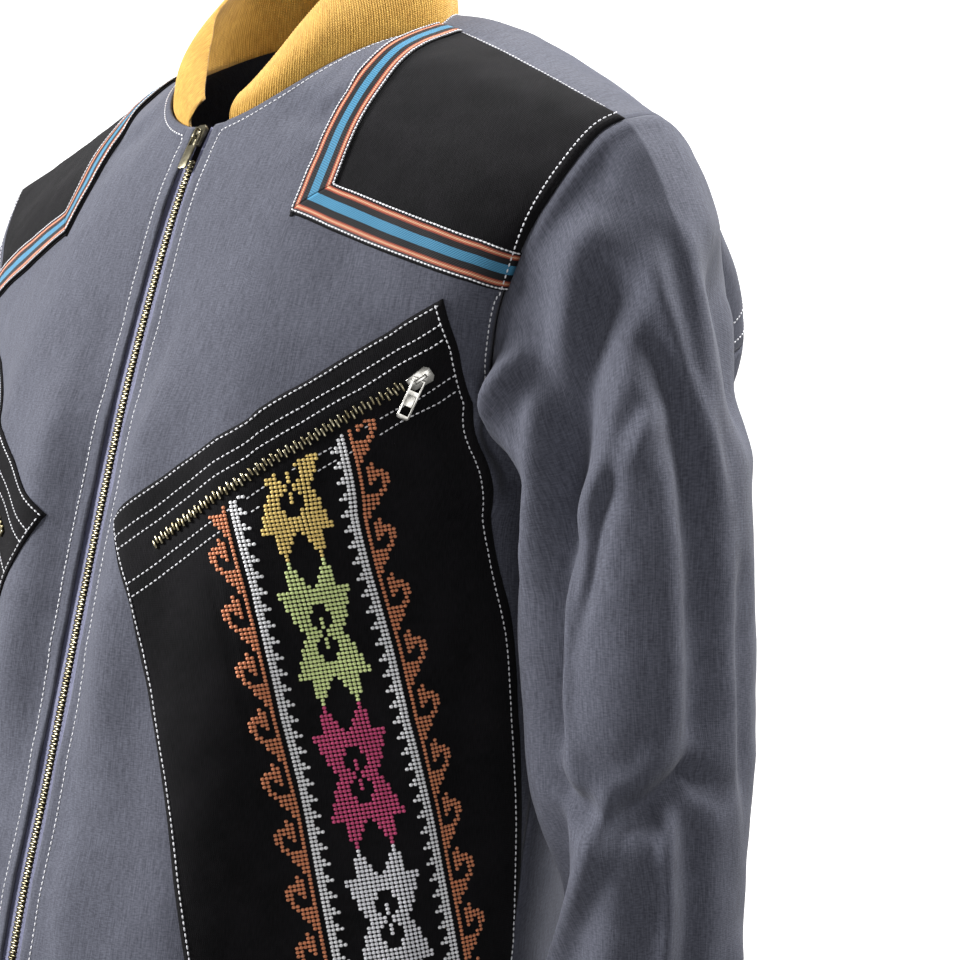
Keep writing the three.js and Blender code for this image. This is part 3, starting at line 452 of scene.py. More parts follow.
def make_piece(name, bm, material, nodes, body="jacket", wall=None):
    """The mesh as a smooth piece that rides on a body and stands for its CAD nodes."""
    mesh = bpy.data.meshes.new(name)
    bm.to_mesh(mesh)
    bm.free()
    mesh.polygons.foreach_set("use_smooth", [True] * len(mesh.polygons))
    mesh.materials.append(material)
    piece = bpy.data.objects.new(name, mesh)
    bpy.context.scene.collection.objects.link(piece)
    if wall:
        thick = piece.modifiers.new("wall", "SOLIDIFY")
        thick.thickness = wall * MM
        thick.offset = -1
    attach(piece, body)
    if nodes:
        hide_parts(*nodes)
    return piece


SIDES = ("left", "right")


def make_pair(name, bm, material, nodes, wall=None):
    """The left piece and its mirror image, which stand for the left and right CAD nodes."""
    other = bm.copy()
    bmesh.ops.scale(other, verts=other.verts, vec=(-1, 1, 1))
    bmesh.ops.reverse_faces(other, faces=other.faces)
    pieces = []
    for side, half in zip(SIDES, (bm, other)):
        stands_for = [f"{node}_{side}" for node in nodes]
        pieces.append(make_piece(f"{name}_{side}", half, material, stands_for, wall=wall))
    return pieces


def flat_position(tree):
    """The flat cloth's own coordinates in millimetres."""
    uv = add_node(tree, "ShaderNodeUVMap", uv_map="flat_cloth")
    metres_to_mm = {"Vector": uv.outputs[0], "Scale": (1000, 1000, 1000)}
    return add_node(tree, "ShaderNodeMapping", metres_to_mm).outputs[0]


def yarns(tree, position, across, along, detail=2.0):
    """Uneven yarns as noise drawn out to `across` by `along` millimetres."""
    scale = (1 / across, 1 / along, 1)
    stretched = add_node(tree, "ShaderNodeMapping", {"Vector": position, "Scale": scale}).outputs[0]
    settings = {"Vector": stretched, "Scale": 1.0, "Detail": detail, "Roughness": 0.6}
    return add_node(tree, "ShaderNodeTexNoise", settings).outputs["Fac"]


def cords(tree, position, pitch, way, **settings):
    """Height of parallel cords, `pitch` millimetres apart along X or Y."""
    links = {"Vector": position, "Scale": 2 * math.pi / 20 / pitch, **settings}
    return add_node(tree, "ShaderNodeTexWave", links, bands_direction=way).outputs["Fac"]


def sums(tree, first, second, operation="ADD"):
    """Two values added, or multiplied."""
    return add_node(tree, "ShaderNodeMath", {0: first, 1: second}, operation=operation).outputs[0]


def plain_weave(tree, position, pitch):
    """Height of a plain weave: yarns of one pitch both ways."""
    return sums(tree, cords(tree, position, pitch, "X"), cords(tree, position, pitch, "Y"), "MULTIPLY")


def blended(tree, share, low, high, **settings):
    """One colour over another by a share."""
    links = {0: share, 6: low, 7: high}
    return add_node(tree, "ShaderNodeMix", links, data_type="RGBA", **settings).outputs[2]


def mixed(tree, factor, low, high, span=(0.3, 0.7)):
    """Colour between two hex values as the factor goes over a span."""
    ramp = add_node(tree, "ShaderNodeMapRange", {"Value": factor, "From Min": span[0], "From Max": span[1]})
    return blended(tree, ramp.outputs[0], linear(low), linear(high))


def surface(tree, shader, colour, height, strength, depth=0.2, sheen=0.0):
    """Links a material's colour and its relief, `depth` millimetres deep, and sets its sheen."""
    tree.links.new(colour, shader.inputs["Base Color"])
    bump = add_node(tree, "ShaderNodeBump", {"Strength": strength, "Distance": depth * MM, "Height": height})
    tree.links.new(bump.outputs[0], shader.inputs["Normal"])
    shader.inputs["Sheen Weight"].default_value = sheen


# Yarn-dyed cotton chambray, washed: navy-grey warp and pale weft give a heathered blue grey, matt, with a
# faint fuzz. Its yarns are 0.35 mm apart and drawn at 0.9 mm, so that they show.
def make_chambray():
    material, tree, shader = new_material("yarn-dyed cotton chambray", 0.88, gloss=0.25)
    position = flat_position(tree)
    slubs = sums(tree, yarns(tree, position, 0.75, 11.0), yarns(tree, position, 2.6, 0.8))
    heather = mixed(tree, sums(tree, slubs, 0.5, "MULTIPLY"), "#32333d", "#60626e", (0.38, 0.63))
    washed = mixed(tree, yarns(tree, position, 60.0, 110.0), "#42434d", "#52545f", (0.25, 0.8))
    height = sums(tree, plain_weave(tree, position, 0.9), slubs)
    surface(tree, shader, blended(tree, 0.4, heather, washed), height, 0.35, sheen=0.06)
    return material


chambray = make_chambray()
flat_front = np.stack([flat_round, flat_height], -1)
fronts = make_pair("front_cloth", cloth_sheet(front, flat_front), chambray, ["front"], wall=CLOTH)

# ---- Back yoke and back ----
# Two more panels of the same chambray: the yoke runs over the shoulders to a seam across the shoulder
# blades, and the back hangs from it to the hem band.
BACK_FOLDS = [Fold(*fold) for fold in (
    (168, -120, 176, -222, 30, 18), (120, -190, 150, -420, 30, -5), (60, -260, 70, -560, 28, 4),
)]
BACK_CREASES = [Crease(*crease) for crease in (
    (16, -2.4, ((60, -150), (80, -240), (110, -330))), (14, 2.6, ((160, -230), (140, -310), (110, -400))),
    (14, -2.8, ((214, -262), (206, -360), (190, -480))), (18, -2.2, ((24, -300), (30, -440), (40, -590))),
    (14, 2.4, ((95, -420), (92, -510), (100, -600))), (13, 2.4, ((170, -400), (168, -500), (176, -600))),
    (9, -3, ((226, -190), (206, -214), (176, -222))), (10, 2.4, ((40, -80), (84, -96), (140, -90))),
)]
YOKE_STEP = SEAM / LINE_DEPTH
BACK_COLUMNS = 160


def back_half(top, bottom, lines, held_clear=False):
    """Both halves of a back panel between two lines of row numbers, from the left side to the right."""
    across = np.abs(np.linspace(1, -1, BACK_COLUMNS + 1))
    u, t = np.meshgrid(across, np.linspace(0, 1, lines + 1))
    v = top(u) + (bottom(u) - top(u)) * t
    points = shell_points(BACK_ROWS, FRONT_ROWS, u, v)
    middle = BACK_COLUMNS // 2
    left_round = round_distances(points[:, middle::-1])[:, ::-1]
    around = np.concatenate([left_round, round_distances(points[:, middle:])[:, 1:]], 1)
    in_seams = smooth(0, 0.06, t) * (1 - smooth(0.94, 1, t)) * (1 - smooth(0.95, 1, u))
    worn_in = 1.1 * ruffle(points, 46, 21) + 0.35 * ruffle(points, 16, 5)
    relief = edge_fade(u) * fold_height(BACK_FOLDS, around, points[..., 2])
    relief = relief + in_seams * (crease_height(BACK_CREASES, around, points[..., 2]) + worn_in)
    relief = relief - 0.7 * hump((1 - u) * HALF_GIRTH, 1.6)
    points = points - shell_normals(BACK_ROWS, FRONT_ROWS, u, v) * relief[..., None]
    points[:, middle:, 0] *= -1
    points[:, middle, 0] = 0
    if held_clear:
        aside = (smooth(0.95, 1, u) * smooth(-255, -263, points[..., 2]))[..., None]
        inwards = points * (-1, 0, 0)
        inwards = inwards / np.maximum(np.abs(inwards[..., :1]), 1e-6) * 0.4 + np.array((0, 0.9, 0))
        points = points + inwards * aside * TURNED_SEAM
    return points


def yoke_seam(u):
    """Row numbers of the seam between yoke and back, which dips in the middle."""
    return 4.0 + 0.75 * u * u


def yoke_top(u):
    """Row numbers of the yoke's upper edge, along the neckline and the shoulder seams."""
    return np.where(u >= NECK, 0, 1.85 * (1 - np.minimum(u / NECK, 1) ** 2.4) ** 0.7) + YOKE_STEP


def back_top(u):
    return yoke_seam(u) + YOKE_STEP


def back_hem(u):
    return np.full_like(u, HEM)


yoke_points = back_half(yoke_top, yoke_seam, 50)
yoke = make_piece("back_yoke_cloth", cloth_sheet(yoke_points), chambray, ["back_yoke"],
                  wall=CLOTH)
back_points = back_half(back_top, back_hem, 100, held_clear=True)
back = make_piece("back_cloth", cloth_sheet(back_points), chambray, ["back"], wall=CLOTH)

# ---- Sleeves ----
# One piece of chambray each, set into the armhole and hanging beside the body. The cloth gathers in folds
# under the armhole and breaks across at the elbow.
SleeveRow = namedtuple("SleeveRow", "z centre_x centre_y half_x half_y")
SLEEVE_ROWS = [SleeveRow(*row) for row in (
    (-292, 251, -11, 49, 63), (-328, 251, -11, 49, 63), (-365, 253, -10, 48, 60), (-403, 255, -9, 46, 55),
    (-445, 258, -6, 42, 49), (-490, 258, -8, 42, 47), (-545, 260, -16, 41, 46), (-598, 261, -27, 41, 45),
    (-624, 261, -32, 35, 39),
)]
FACETS = 24
CAP_STEPS = [0, 0.08, 0.22, 0.4, 0.6, 0.8, 1]
CAP_LINES = 6
CUFF_LINE = 14
CAP_SLOPE_TOP, CAP_SLOPE_SIDE, CAP_SLOPE_BOTTOM = 40, 58, 72
CAP_LEAVE, CAP_ARRIVE = 0.74, 0.75
SET_IN = 0.6                    # room between the armhole's edge and the sleeve's turned edge
GIRTH = 372
SLEEVE_FOLDS = [Fold(*fold) for fold in (
    (148, -196, 160, -262, 15, -17), (128, -182, 132, -238, 13, 8), (140, -262, 146, -430, 17, 5),
    (92, -165, 90, -372, 21, -8), (47, -150, 40, -372, 20, 5), (8, -140, 2, -360, 18, -4),
    (92, -386, 12, -396, 15, -7), (62, -405, 88, -500, 16, 5), (250, -250, 262, -420, 22, -6),
    (330, -128, 322, -222, 26, -14), (310, -300, 300, -440, 22, 4),
)]
SLEEVE_CREASES = [Crease(*crease) for crease in (
    (8, 7, ((100, -190), (112, -236), (122, -275), (129, -318))),
    (14, -14, ((38, -136), (53, -157), (64, -182), (75, -204), (87, -229), (98, -252), (108, -300),
               (110, -350), (113, -400))),
    (9, 5, ((38, -112), (60, -134), (73, -158), (84, -180), (101, -203))),
    (8, 4.5, ((20, -124), (27, -152), (19, -182), (12, -205), (5, -232), (0, -270))),
    (8, 6, ((26, -200), (50, -226), (78, -250), (104, -280))),
    (5.5, -6, ((40, -196), (58, -232), (67, -262), (74, -290), (88, -330))),
    (7, 5.5, ((99, -266), (97, -320), (95, -386))),
    (9, 4.5, ((34, -216), (32, -300), (31, -350), (42, -388))),
    (11, -8, ((36, -158), (30, -195), (23, -235), (15, -290), (13, -330), (18, -398))),
    (7, -9.5, ((128, -378), (96, -396), (66, -403), (44, -395), (20, -378), (-18, -398))),
    (7, 4.5, ((102, -362), (87, -382), (66, -388), (48, -380), (32, -358))),
    (8, 9, ((60, -380), (75, -402), (90, -428), (122, -470), (140, -530))),
    (6, 5.5, ((30, -384), (39, -418), (42, -460), (46, -524))),
    (10, -6.5, ((18, -390), (22, -440), (24, -512))),
    (12, -9, ((106, -386), (122, -424), (150, -482))),
    (8, -2, ((20, -74), (42, -98), (66, -121), (92, -150))),
    (7, 10, ((100, -174), (119, -197), (136, -214), (149, -234), (150, -264))),
    (6, -8, ((124, -184), (146, -206), (164, -236))),
    (11, 3, ((56, -470), (60, -530), (54, -606))),
    (9, -3.4, ((84, -500), (82, -560), (90, -616))),
    (10, 3.5, ((362, -110), (368, -160), (374, -226), (366, -320), (360, -392))),
    (9, -4.5, ((350, -270), (352, -350), (342, -420))),
    (14, 3.5, ((215, -300), (208, -400), (212, -520))),
    (12, -3.4, ((190, -400), (196, -500), (202, -606))),
    (14, -3.6, ((284, -320), (278, -440), (270, -570))),
    (12, 3.8, ((296, -140), (306, -190), (314, -250))),
    (12, 3, ((352, -450), (346, -520), (340, -606))),
)]


def ring_points(row, k):
    """Points of a sleeve ring at facet numbers k, forwards from its outer side."""
    angle = 2 * math.pi * k / FACETS
    return np.stack([row.centre_x + row.half_x * np.cos(angle), row.centre_y - row.half_y * np.sin(angle),
                     np.full_like(k, row.z)], -1)


def armhole(k):
    """The armhole's edge from the shoulder tip down the front to the underarm and up the back."""
    half = FACETS / 2
    side = np.ones_like(k)
    front_v, back_v = (np.minimum(UNDERARM * facet / half, UNDERARM) for facet in (k, FACETS - k))
    front_edge = shell_points(FRONT_ROWS, BACK_ROWS, side, front_v)
    back_edge = shell_points(BACK_ROWS, FRONT_ROWS, side, back_v)
    return np.where((k <= half)[:, None], front_edge, back_edge)


def sleeve_line(k, line):
    """Points round the sleeve at a line number: 0 at the armhole, CAP_LINES at its first ring."""
    if line >= CAP_LINES:
        rings = [ring_points(row, k) for row in SLEEVE_ROWS]
        i = min(int(line - CAP_LINES), len(rings) - 2)
        pick = [rings[min(max(i + d, 0), len(rings) - 1)] for d in (-1, 0, 1, 2)]
        return between(*pick, line - CAP_LINES - i)
    t = np.interp(line, range(len(CAP_STEPS)), CAP_STEPS)
    down = np.cos(2 * math.pi * k / FACETS)
    slope = np.where(down > 0, CAP_SLOPE_SIDE + (CAP_SLOPE_TOP - CAP_SLOPE_SIDE) * down,
                     CAP_SLOPE_SIDE + (CAP_SLOPE_SIDE - CAP_SLOPE_BOTTOM) * down)
    angle = np.radians(slope)
    leave = np.stack([np.cos(angle), np.zeros_like(angle), -np.sin(angle)], -1)
    start, end = armhole(k), ring_points(SLEEVE_ROWS[0], k)
    reach = np.linalg.norm(end - start, axis=-1, keepdims=True)
    start = start + leave * SET_IN
    arrive = np.array((0, 0, -1)) * CAP_ARRIVE
    return (start * (2 * t ** 3 - 3 * t ** 2 + 1) + leave * CAP_LEAVE * reach * (t ** 3 - 2 * t ** 2 + t)
            + end * (3 * t ** 2 - 2 * t ** 3) + arrive * reach * (t ** 3 - t ** 2))


facets = np.linspace(FACETS, 0, 145)
sleeve_lines = np.concatenate([np.linspace(0, CAP_LINES, 61), np.linspace(CAP_LINES, CUFF_LINE, 81)[1:]])
sleeve = np.stack([sleeve_line(facets, line) for line in sleeve_lines])
sleeve_round = np.broadcast_to(GIRTH * facets / FACETS, sleeve.shape[:2])
sleeve_height = sleeve[..., 2]
turns = [sleeve_round - whole * GIRTH for whole in (-1, 0, 1)]
wrapped = np.stack([fold_height(SLEEVE_FOLDS, around, sleeve_height) for around in turns])
large = np.maximum(wrapped.max(0), 0) + np.minimum(wrapped.min(0), 0)
small = sum(crease_height(SLEEVE_CREASES, around, sleeve_height) for around in turns)
small = small + 1.3 * ruffle(sleeve, 38, 11) + 0.45 * ruffle(sleeve, 14, 17)
fade = (smooth(0, 2, sleeve_lines) * (1 - smooth(12, CUFF_LINE, sleeve_lines)))[:, None]
soft_fade = (smooth(0, 1, sleeve_lines) * (1 - smooth(13, CUFF_LINE, sleeve_lines)))[:, None]
from_armhole = distances(sleeve, 0)
seam_roll = 0.8 * hump(from_armhole - 5, 3.5) - 0.2 * hump(from_armhole, 1.5)
sleeve_relief = fade * large + soft_fade * small + seam_roll
sleeve = sleeve + outward(sleeve, closed=True) * sleeve_relief[..., None]
sleeve[:, -1] = sleeve[:, 0]
# Its seam allowance turns down and lies inside the armhole's edge, deepest below the shoulder.
ALLOWANCE = ((5, 5, 2.9), (2.4, 1.2, 2.4), (0.3, 0.2, 1.8))        # reach, further reach below, depth
outward_edge = outward(sleeve, closed=True)[0]
back_along = unit(sleeve[0] - sleeve[3])
below_top = (0.5 - 0.5 * np.cos(2 * math.pi * facets / FACETS))[:, None]
sleeve = np.concatenate([[sleeve[0] + back_along * (reach + further * below_top) - outward_edge * depth
                          for reach, further, depth in ALLOWANCE], sleeve])
down_sleeve = -distances(sleeve, 0).mean(1, keepdims=True)
flat_sleeve = np.stack(np.broadcast_arrays(GIRTH * facets / FACETS, down_sleeve), -1)
sleeves = make_pair("sleeve_cloth", cloth_sheet(sleeve, flat_sleeve, closed=True), chambray,
                    ["sleeve"], wall=CLOTH)

# ---- Collar, cuffs and hem band ----
# Mustard cotton rib, knitted fine and folded double, so each band ends in a round fold. It is sewn to the
# neckline, the sleeve ends and the hem.
RIB = 2.0
HEM_DEPTH = 60
CUFF_DEPTH = 65
CUFF_GIRTH = 226
RIB_HEIGHT = 0.45


NECK_POINTS, CUFF_POINTS, HEM_POINTS = 1201, 453, 1901
COLLAR_SUNK = 3                 # the collar starts this far below the neckline, inside it


def read_at(at, run, values):
    """Rows of a table of vectors, read at lengths along its run."""
    return np.stack([np.interp(at, run, values[:, axis]) for axis in range(3)], -1)


def curve_through(points, count):
    """Points evenly spaced along a smooth curve through the given ones, and its length."""
    points = np.asarray(points, float)
    padded = np.concatenate([2 * points[:1] - points[1:2], points, 2 * points[-1:] - points[-2:-1]])
    dense = np.concatenate([[between(*padded[i:i + 4], t) for t in np.linspace(0, 1, 17)[:-1]]
                            for i in range(len(points) - 1)] + [points[-1:]])
    run = distances(dense, 0)
    return read_at(np.linspace(0, run[-1], count), run, dense), run[-1]


def rib_band(outer, pitch, length, upwards=False, closed=False):
    """A band folded double, from its outer face as a grid from seam to fold. Its ribs run that way too."""
    order = outer[::-1] if upwards else outer
    normal = outward(order, closed)
    normal = normal[::-1] if upwards else normal
    columns = outer.shape[1]
    phase = np.linspace(0, length / pitch, columns) * 2 * math.pi
    rib = RIB_HEIGHT * (0.5 * np.cos(phase) - 0.5)[:, None]
    beyond = unit(outer[-1] - outer[-2])
    body = RIB / 2
    core = outer - normal * body
    section = [core[i] + normal[i] * (body + rib) for i in range(len(outer))]
    for angle in np.radians((30, 60, 90, 120, 150)):
        section.append(core[-1] + (normal[-1] * math.cos(angle) + beyond * math.sin(angle)) * (body + rib))
    section += [core[i] - normal[i] * (body + rib) for i in reversed(range(len(outer)))]
    section.append(section[0])
    if upwards:
        section.reverse()
    grid = np.stack(section)
    run = distances(grid[:, columns // 2], 0)
    flat = np.stack(np.broadcast_arrays((phase / (2 * math.pi) * pitch)[None, :], -run[:, None]), -1)
    bm = cloth_sheet(grid, flat, closed=True)
    if not closed:
        bmesh.ops.holes_fill(bm, edges=[edge for edge in bm.edges if edge.is_boundary], sides=0)
    return bm


# Cotton rib knit: plied mustard yarn in upright wales, soft and matt. Its colour varies with the yarn and is
# painted darker where the yarn's relief is low, as painted shade down between the ribs.
def make_rib_knit():
    material, tree, shader = new_material("cotton rib knit", 0.92, gloss=0.2)
    position = flat_position(tree)
    yarn = yarns(tree, position, 1.2, 9.0)
    # Painted shade: the darker yarn colour falls where the yarn relief is low.
    knit = mixed(tree, yarn, "#ab7e33", "#deb155")
    worn = mixed(tree, yarns(tree, position, 30.0, 22.0), "#b8893d", "#dcb058", (0.25, 0.75))
    height = sums(tree, cords(tree, position, 1.3, "Y"), yarn)
    surface(tree, shader, blended(tree, 0.4, knit, worn), height, 0.5, depth=0.3, sheen=0.2)
    return material


def inwards_from(curve, middle=(0, 0, 0)):
    """Level directions from each point of a curve round the body towards its middle."""
    return unit((np.array(middle) - curve) * (1, 1, 0))


def both_halves(left_line):
    """A line down the left side to the middle, carried on as its mirror image."""
    return left_line + [point * (-1, 1, 1) for point in reversed(left_line[:-1])]


mustard = make_rib_knit()
COLLAR_ALONG = (0, 0.07, 0.16, 0.28, 0.5, 0.67, 1)
COLLAR_HEIGHT = (15, 28, 38, 43, 45, 45, 58)
COLLAR_LEAN = (9, 17, 21, 21, 18, 15, 10)
BACK_STEP = BACK_COLUMNS // 2 // GRID
back_middle = BACK_COLUMNS // 2
yoke_neck = [back_half(yoke_top, yoke_seam, 6)[0, back_middle - BACK_STEP * c] for c in (4, 3, 2, 1, 0)]
neckline = both_halves(list(solid_front[0, 1:6]) + yoke_neck)
neck_curve, neck_length = curve_through(neckline, NECK_POINTS)
neck_inwards = inwards_from(neck_curve)
along = 1 - np.abs(1 - 2 * np.linspace(0, 1, NECK_POINTS))
soften = np.hanning(61) / np.hanning(61).sum()
collar_sizes = [np.pad(np.interp(along, COLLAR_ALONG, sizes), 30, mode="edge")
                for sizes in (COLLAR_HEIGHT, COLLAR_LEAN)]
collar_height, collar_lean = (np.convolve(sizes, soften, "valid") for sizes in collar_sizes)
collar = []
for t in np.linspace(0, 1, 13):
    rise = (t * (collar_height + COLLAR_SUNK) - COLLAR_SUNK)[:, None] * np.array((0, 0, 1))
    lean = collar_lean * t * t + 1.9 - 1.2 * t - 1.2 * math.sin(math.pi * t)
    collar.append(neck_curve + rise + neck_inwards * lean[:, None])
collar_piece = make_piece("collar_rib", rib_band(np.stack(collar), 1.6, neck_length, upwards=True), mustard,
                          ["collar"])

sleeve_end = SLEEVE_ROWS[-1]
cuff = []
for t in np.linspace(0, 1, 13):
    squeeze = 0.6 * (1 - math.sin(math.pi * min(t * 1.15, 1)))
    cuff_ring = sleeve_end._replace(z=sleeve_end.z - SEAM - t * (CUFF_DEPTH - 1),
                                    centre_y=sleeve_end.centre_y - 14 * t,
                                    half_x=sleeve_end.half_x - 3 * t - squeeze,
                                    half_y=sleeve_end.half_y - 4 * t - squeeze)
    cuff.append(ring_points(cuff_ring, np.linspace(FACETS, 0, CUFF_POINTS)))
cuffs = make_pair("cuff_rib", rib_band(np.stack(cuff), 2.0, CUFF_GIRTH, closed=True), mustard,
                  ["cuff"])

solid_hem = back_half(back_top, back_hem, 10)[-1]
back_foot = [solid_hem[back_middle - BACK_STEP * c] for c in range(GRID - 1, -1, -1)]
hem_line = both_halves(list(solid_front[-1]) + back_foot)
hem_curve, hem_length = curve_through(hem_line, HEM_POINTS)
hem_inwards = inwards_from(hem_curve, (0, -50, 0))
hem = []
for t in np.linspace(0, 1, 10):
    edge = hem_curve + hem_inwards * (5 * t * t - 1) + np.array((0, 0, -SEAM - t * (HEM_DEPTH - 1)))
    edge[0, 0], edge[-1, 0] = ZIP_OPENING, -ZIP_OPENING
    hem.append(edge)
hem_piece = make_piece("hem_rib", rib_band(np.stack(hem), 2.2, hem_length), mustard,
                       ["hem_band"])

# ---- Shoulder patches ----
# Black cotton laid over each front's shoulder from the seam down, its lower corner pointed. It is caught in
# the shoulder and armhole seams and edged with ribbon.
GAP = 0.3
PATCH = 1.0
CORNER = np.array((94.0, -113.0))
UPRIGHT_TOP = np.array((88.0, 0.0))
SLANT_END = np.array((203.0, -152.0))


def direction(start, end):
    """The direction from one flat point to another, and the one a quarter turn to its left."""
    x, z = unit(end - start)
    return np.array((x, z)), np.array((-z, x))


upright_way, upright_in = direction(UPRIGHT_TOP, CORNER)
slant_way, slant_in = direction(CORNER, SLANT_END)


def to_seam(start, way):
    """Where a straight line in the front view meets the shoulder seam or the armhole."""
    edge = solid_front[0] if way[1] > 0 else solid_front[:, -1]
    best, reach = None, 1e9
    for a, b in zip(edge[:-1], edge[1:]):
        (ax, az), (bx, bz) = (a[0], a[2]), (b[0], b[2])
        across = way[0] * (bz - az) - way[1] * (bx - ax)
        if abs(across) < 1e-9:
            continue
        run = ((ax - start[0]) * (bz - az) - (az - start[1]) * (bx - ax)) / across
        part = ((ax - start[0]) * way[1] - (az - start[1]) * way[0]) / across
        if -0.02 <= part <= 1.02 and 0 < run < reach:
            best, reach = start + way * run, run
    return best


def places_along(table, start, end, steps):
    """(column, line) places evenly spaced between two points given by a table and height."""
    shares = np.linspace(0, 1, steps + 1)[:, None]
    return np.array([find_place(table, *point) for point in start * (1 - shares) + end * shares])


PATCH_COLUMNS, PATCH_ROWS = 48, 44
left_edge = places_along(front_across, to_seam(CORNER, -upright_way), CORNER, PATCH_ROWS)
low_edge = places_along(front_across, CORNER, to_seam(CORNER, slant_way), PATCH_COLUMNS)
corner_place = low_edge[0].copy()
left_edge[0, 1], low_edge[-1, 0] = 0, GRID
top_right, low_right = np.array((GRID, 0)), low_edge[-1]
share_across = np.linspace(0, 1, PATCH_COLUMNS + 1)[None, :, None]
share_down = np.linspace(0, 1, PATCH_ROWS + 1)[:, None, None]
right_edge = top_right * (1 - share_down) + low_right * share_down
straight_low = corner_place * (1 - share_across) + low_right * share_across
across_grid = left_edge[:, None] * (1 - share_across) + right_edge * share_across
patch_places = across_grid + (low_edge[None] - straight_low) * share_down
patch, _ = on_front(patch_places, np.full(patch_places.shape[:2], GAP + PATCH))
patch = patch + outward(patch) * (0.25 * ruffle(patch, 11, 31)[..., None] - 0.25)

# Black cotton twill, washed: matt, a little grey where it wears, with fine lint caught in it.
def make_black_cotton():
    material, tree, shader = new_material("washed black cotton", 0.9, gloss=0.08)
    position = flat_position(tree)
    warp = yarns(tree, position, 0.6, 5.0)
    fresh = mixed(tree, warp, "#09090a", "#1b1a1c", (0.3, 0.72))
    faded = mixed(tree, yarns(tree, position, 26.0, 34.0, 4.0), "#09090a", "#1f1d20", (0.35, 0.8))
    height = sums(tree, plain_weave(tree, position, 0.9), warp)
    surface(tree, shader, blended(tree, 0.4, fresh, faded), height, 0.4, depth=0.3, sheen=0.02)
    return material


black = make_black_cotton()
patches = make_pair("shoulder_patch_cloth", cloth_sheet(patch), black, ["shoulder_patch"],
                    wall=PATCH)

# ---- Ribbon edging ----
# Woven cotton ribbon 20 mm wide, sewn along both free edges of each shoulder patch and mitred at its
# corner: black ground, a blue stripe down the middle and an orange stripe with a pale core near each edge.
RIBBON = 0.8
RIBBON_WIDTH = 20
RIBBON_LIFT = GAP + PATCH + GAP
RIBBON_BARE = 0.5               # of the patch, outside the ribbon's outer edge
ribbon_width = np.linspace(RIBBON_BARE, RIBBON_WIDTH, 9)
mitre = CORNER + (upright_in + slant_in) * RIBBON_WIDTH / (1 + float(upright_in @ slant_in))
ribbon_places = {}
for run_name, way, inward in (("upright", -upright_way, upright_in), ("slant", slant_way, slant_in)):
    lengthwise = []
    for w in ribbon_width:
        ends = [CORNER + (mitre - CORNER) * w / RIBBON_WIDTH, to_seam(CORNER + inward * w, way)]
        if run_name == "upright":
            ends.reverse()
        lengthwise.append(places_along(front_across, *ends, 60))
    ribbon_places[run_name] = np.array(lengthwise)

# Rayon and cotton ribbon, tightly woven with a low gloss: cross ribs every 1 mm show on the coloured stripes,
# as bumps and as painted shade between them with a painted highlight on each crest. They are drawn at 1.4 mm,
# so that they show.
STRIPES = ((0.0, "#141316"), (2.2, "#82382a"), (2.7, "#b2654a"), (3.2, "#c69c7c"), (3.8, "#b2654a"),
           (4.3, "#82382a"), (4.8, "#141316"), (8.0, "#407c9c"), (12.6, "#141316"), (15.6, "#82382a"),
           (16.1, "#b2654a"), (16.6, "#c69c7c"), (17.2, "#b2654a"), (17.7, "#82382a"), (18.2, "#141316"))


def make_ribbon():
    material, tree, shader = new_material("woven striped ribbon", 0.62, gloss=0.25)
    position = flat_position(tree)
    across = add_node(tree, "ShaderNodeSeparateXYZ", {"Vector": position}).outputs[0]
    widths = {"Value": across, "From Max": float(RIBBON_WIDTH)}
    share = add_node(tree, "ShaderNodeMapRange", widths).outputs[0]
    stripes = add_node(tree, "ShaderNodeValToRGB", {"Fac": share})
    stops = stripes.color_ramp.elements
    stripes.color_ramp.interpolation = "CONSTANT"
    for i, (start, colour) in enumerate(STRIPES):
        stop = stops[0] if i == 0 else stops.new(start / RIBBON_WIDTH)
        stop.position = start / RIBBON_WIDTH
        stop.color = linear(colour)
    while len(stops) > len(STRIPES):
        stops.remove(stops[-1])
    ribs = cords(tree, position, 1.4, "Y", Distortion=0.3, Detail=1.0)
    # Painted shade and highlight: the stripes' colour is darkened between the cross ribs and lightened a
    # little on their crests.
    painted_rib_shading = add_node(tree, "ShaderNodeMapRange", {"Value": ribs, "To Min": 0.6, "To Max": 1.15}).outputs[0]
    grey = add_node(tree, "ShaderNodeCombineColor", {0: painted_rib_shading, 1: painted_rib_shading, 2: painted_rib_shading}).outputs[0]
    shaded = blended(tree, 1.0, stripes.outputs[0], grey, blend_type="MULTIPLY")
    surface(tree, shader, shaded, ribs, 0.5)
    return material


ribbon = make_ribbon()
for run_name, length in (("upright", 0.15), ("slant", 0.13)):
    sewn = ribbon_places[run_name]
    points, _ = on_front(sewn, np.full(sewn.shape[:2], RIBBON_LIFT + RIBBON))
    if run_name == "upright":
        points = points.transpose(1, 0, 2)
        flat = np.stack(np.broadcast_arrays(ribbon_width, -distances(points, 0)), -1)
    else:
        points = points[::-1]
        flat = np.stack(np.broadcast_arrays(ribbon_width[::-1, None], distances(points, 1)), -1)
    pieces = make_pair(f"ribbon_{run_name}_woven", cloth_sheet(points, flat), ribbon,
                       [f"ribbon_{run_name}"], wall=RIBBON)

# ---- Pocket panels ----
# Black cotton panels on the lower fronts. Two folded lips stand along the slanting pocket zip, and a seam
# runs down through the panel below it.
ZIP_FROM, ZIP_TO = np.array((66.0, -280.0)), np.array((189.0, -194.0))
zip_way, zip_above = direction(ZIP_FROM, ZIP_TO)
PANEL_Z = (-157, -205, -244, -269, -307, -383, -474, -606)
PANEL_INNER = (31, 31, 31, 31, 56, 84, 110, 148)
PANEL_OUTER = (194, 216, 233, 242, 254, 268, 282, 300)


def panel_side(values, z):
    """Across at a height on a side of the panel, by the solid's own straight runs, slightly rounded."""
    return np.mean([np.interp(-(z + d), [-h for h in PANEL_Z], values) for d in (-4, 0, 4)], axis=0)


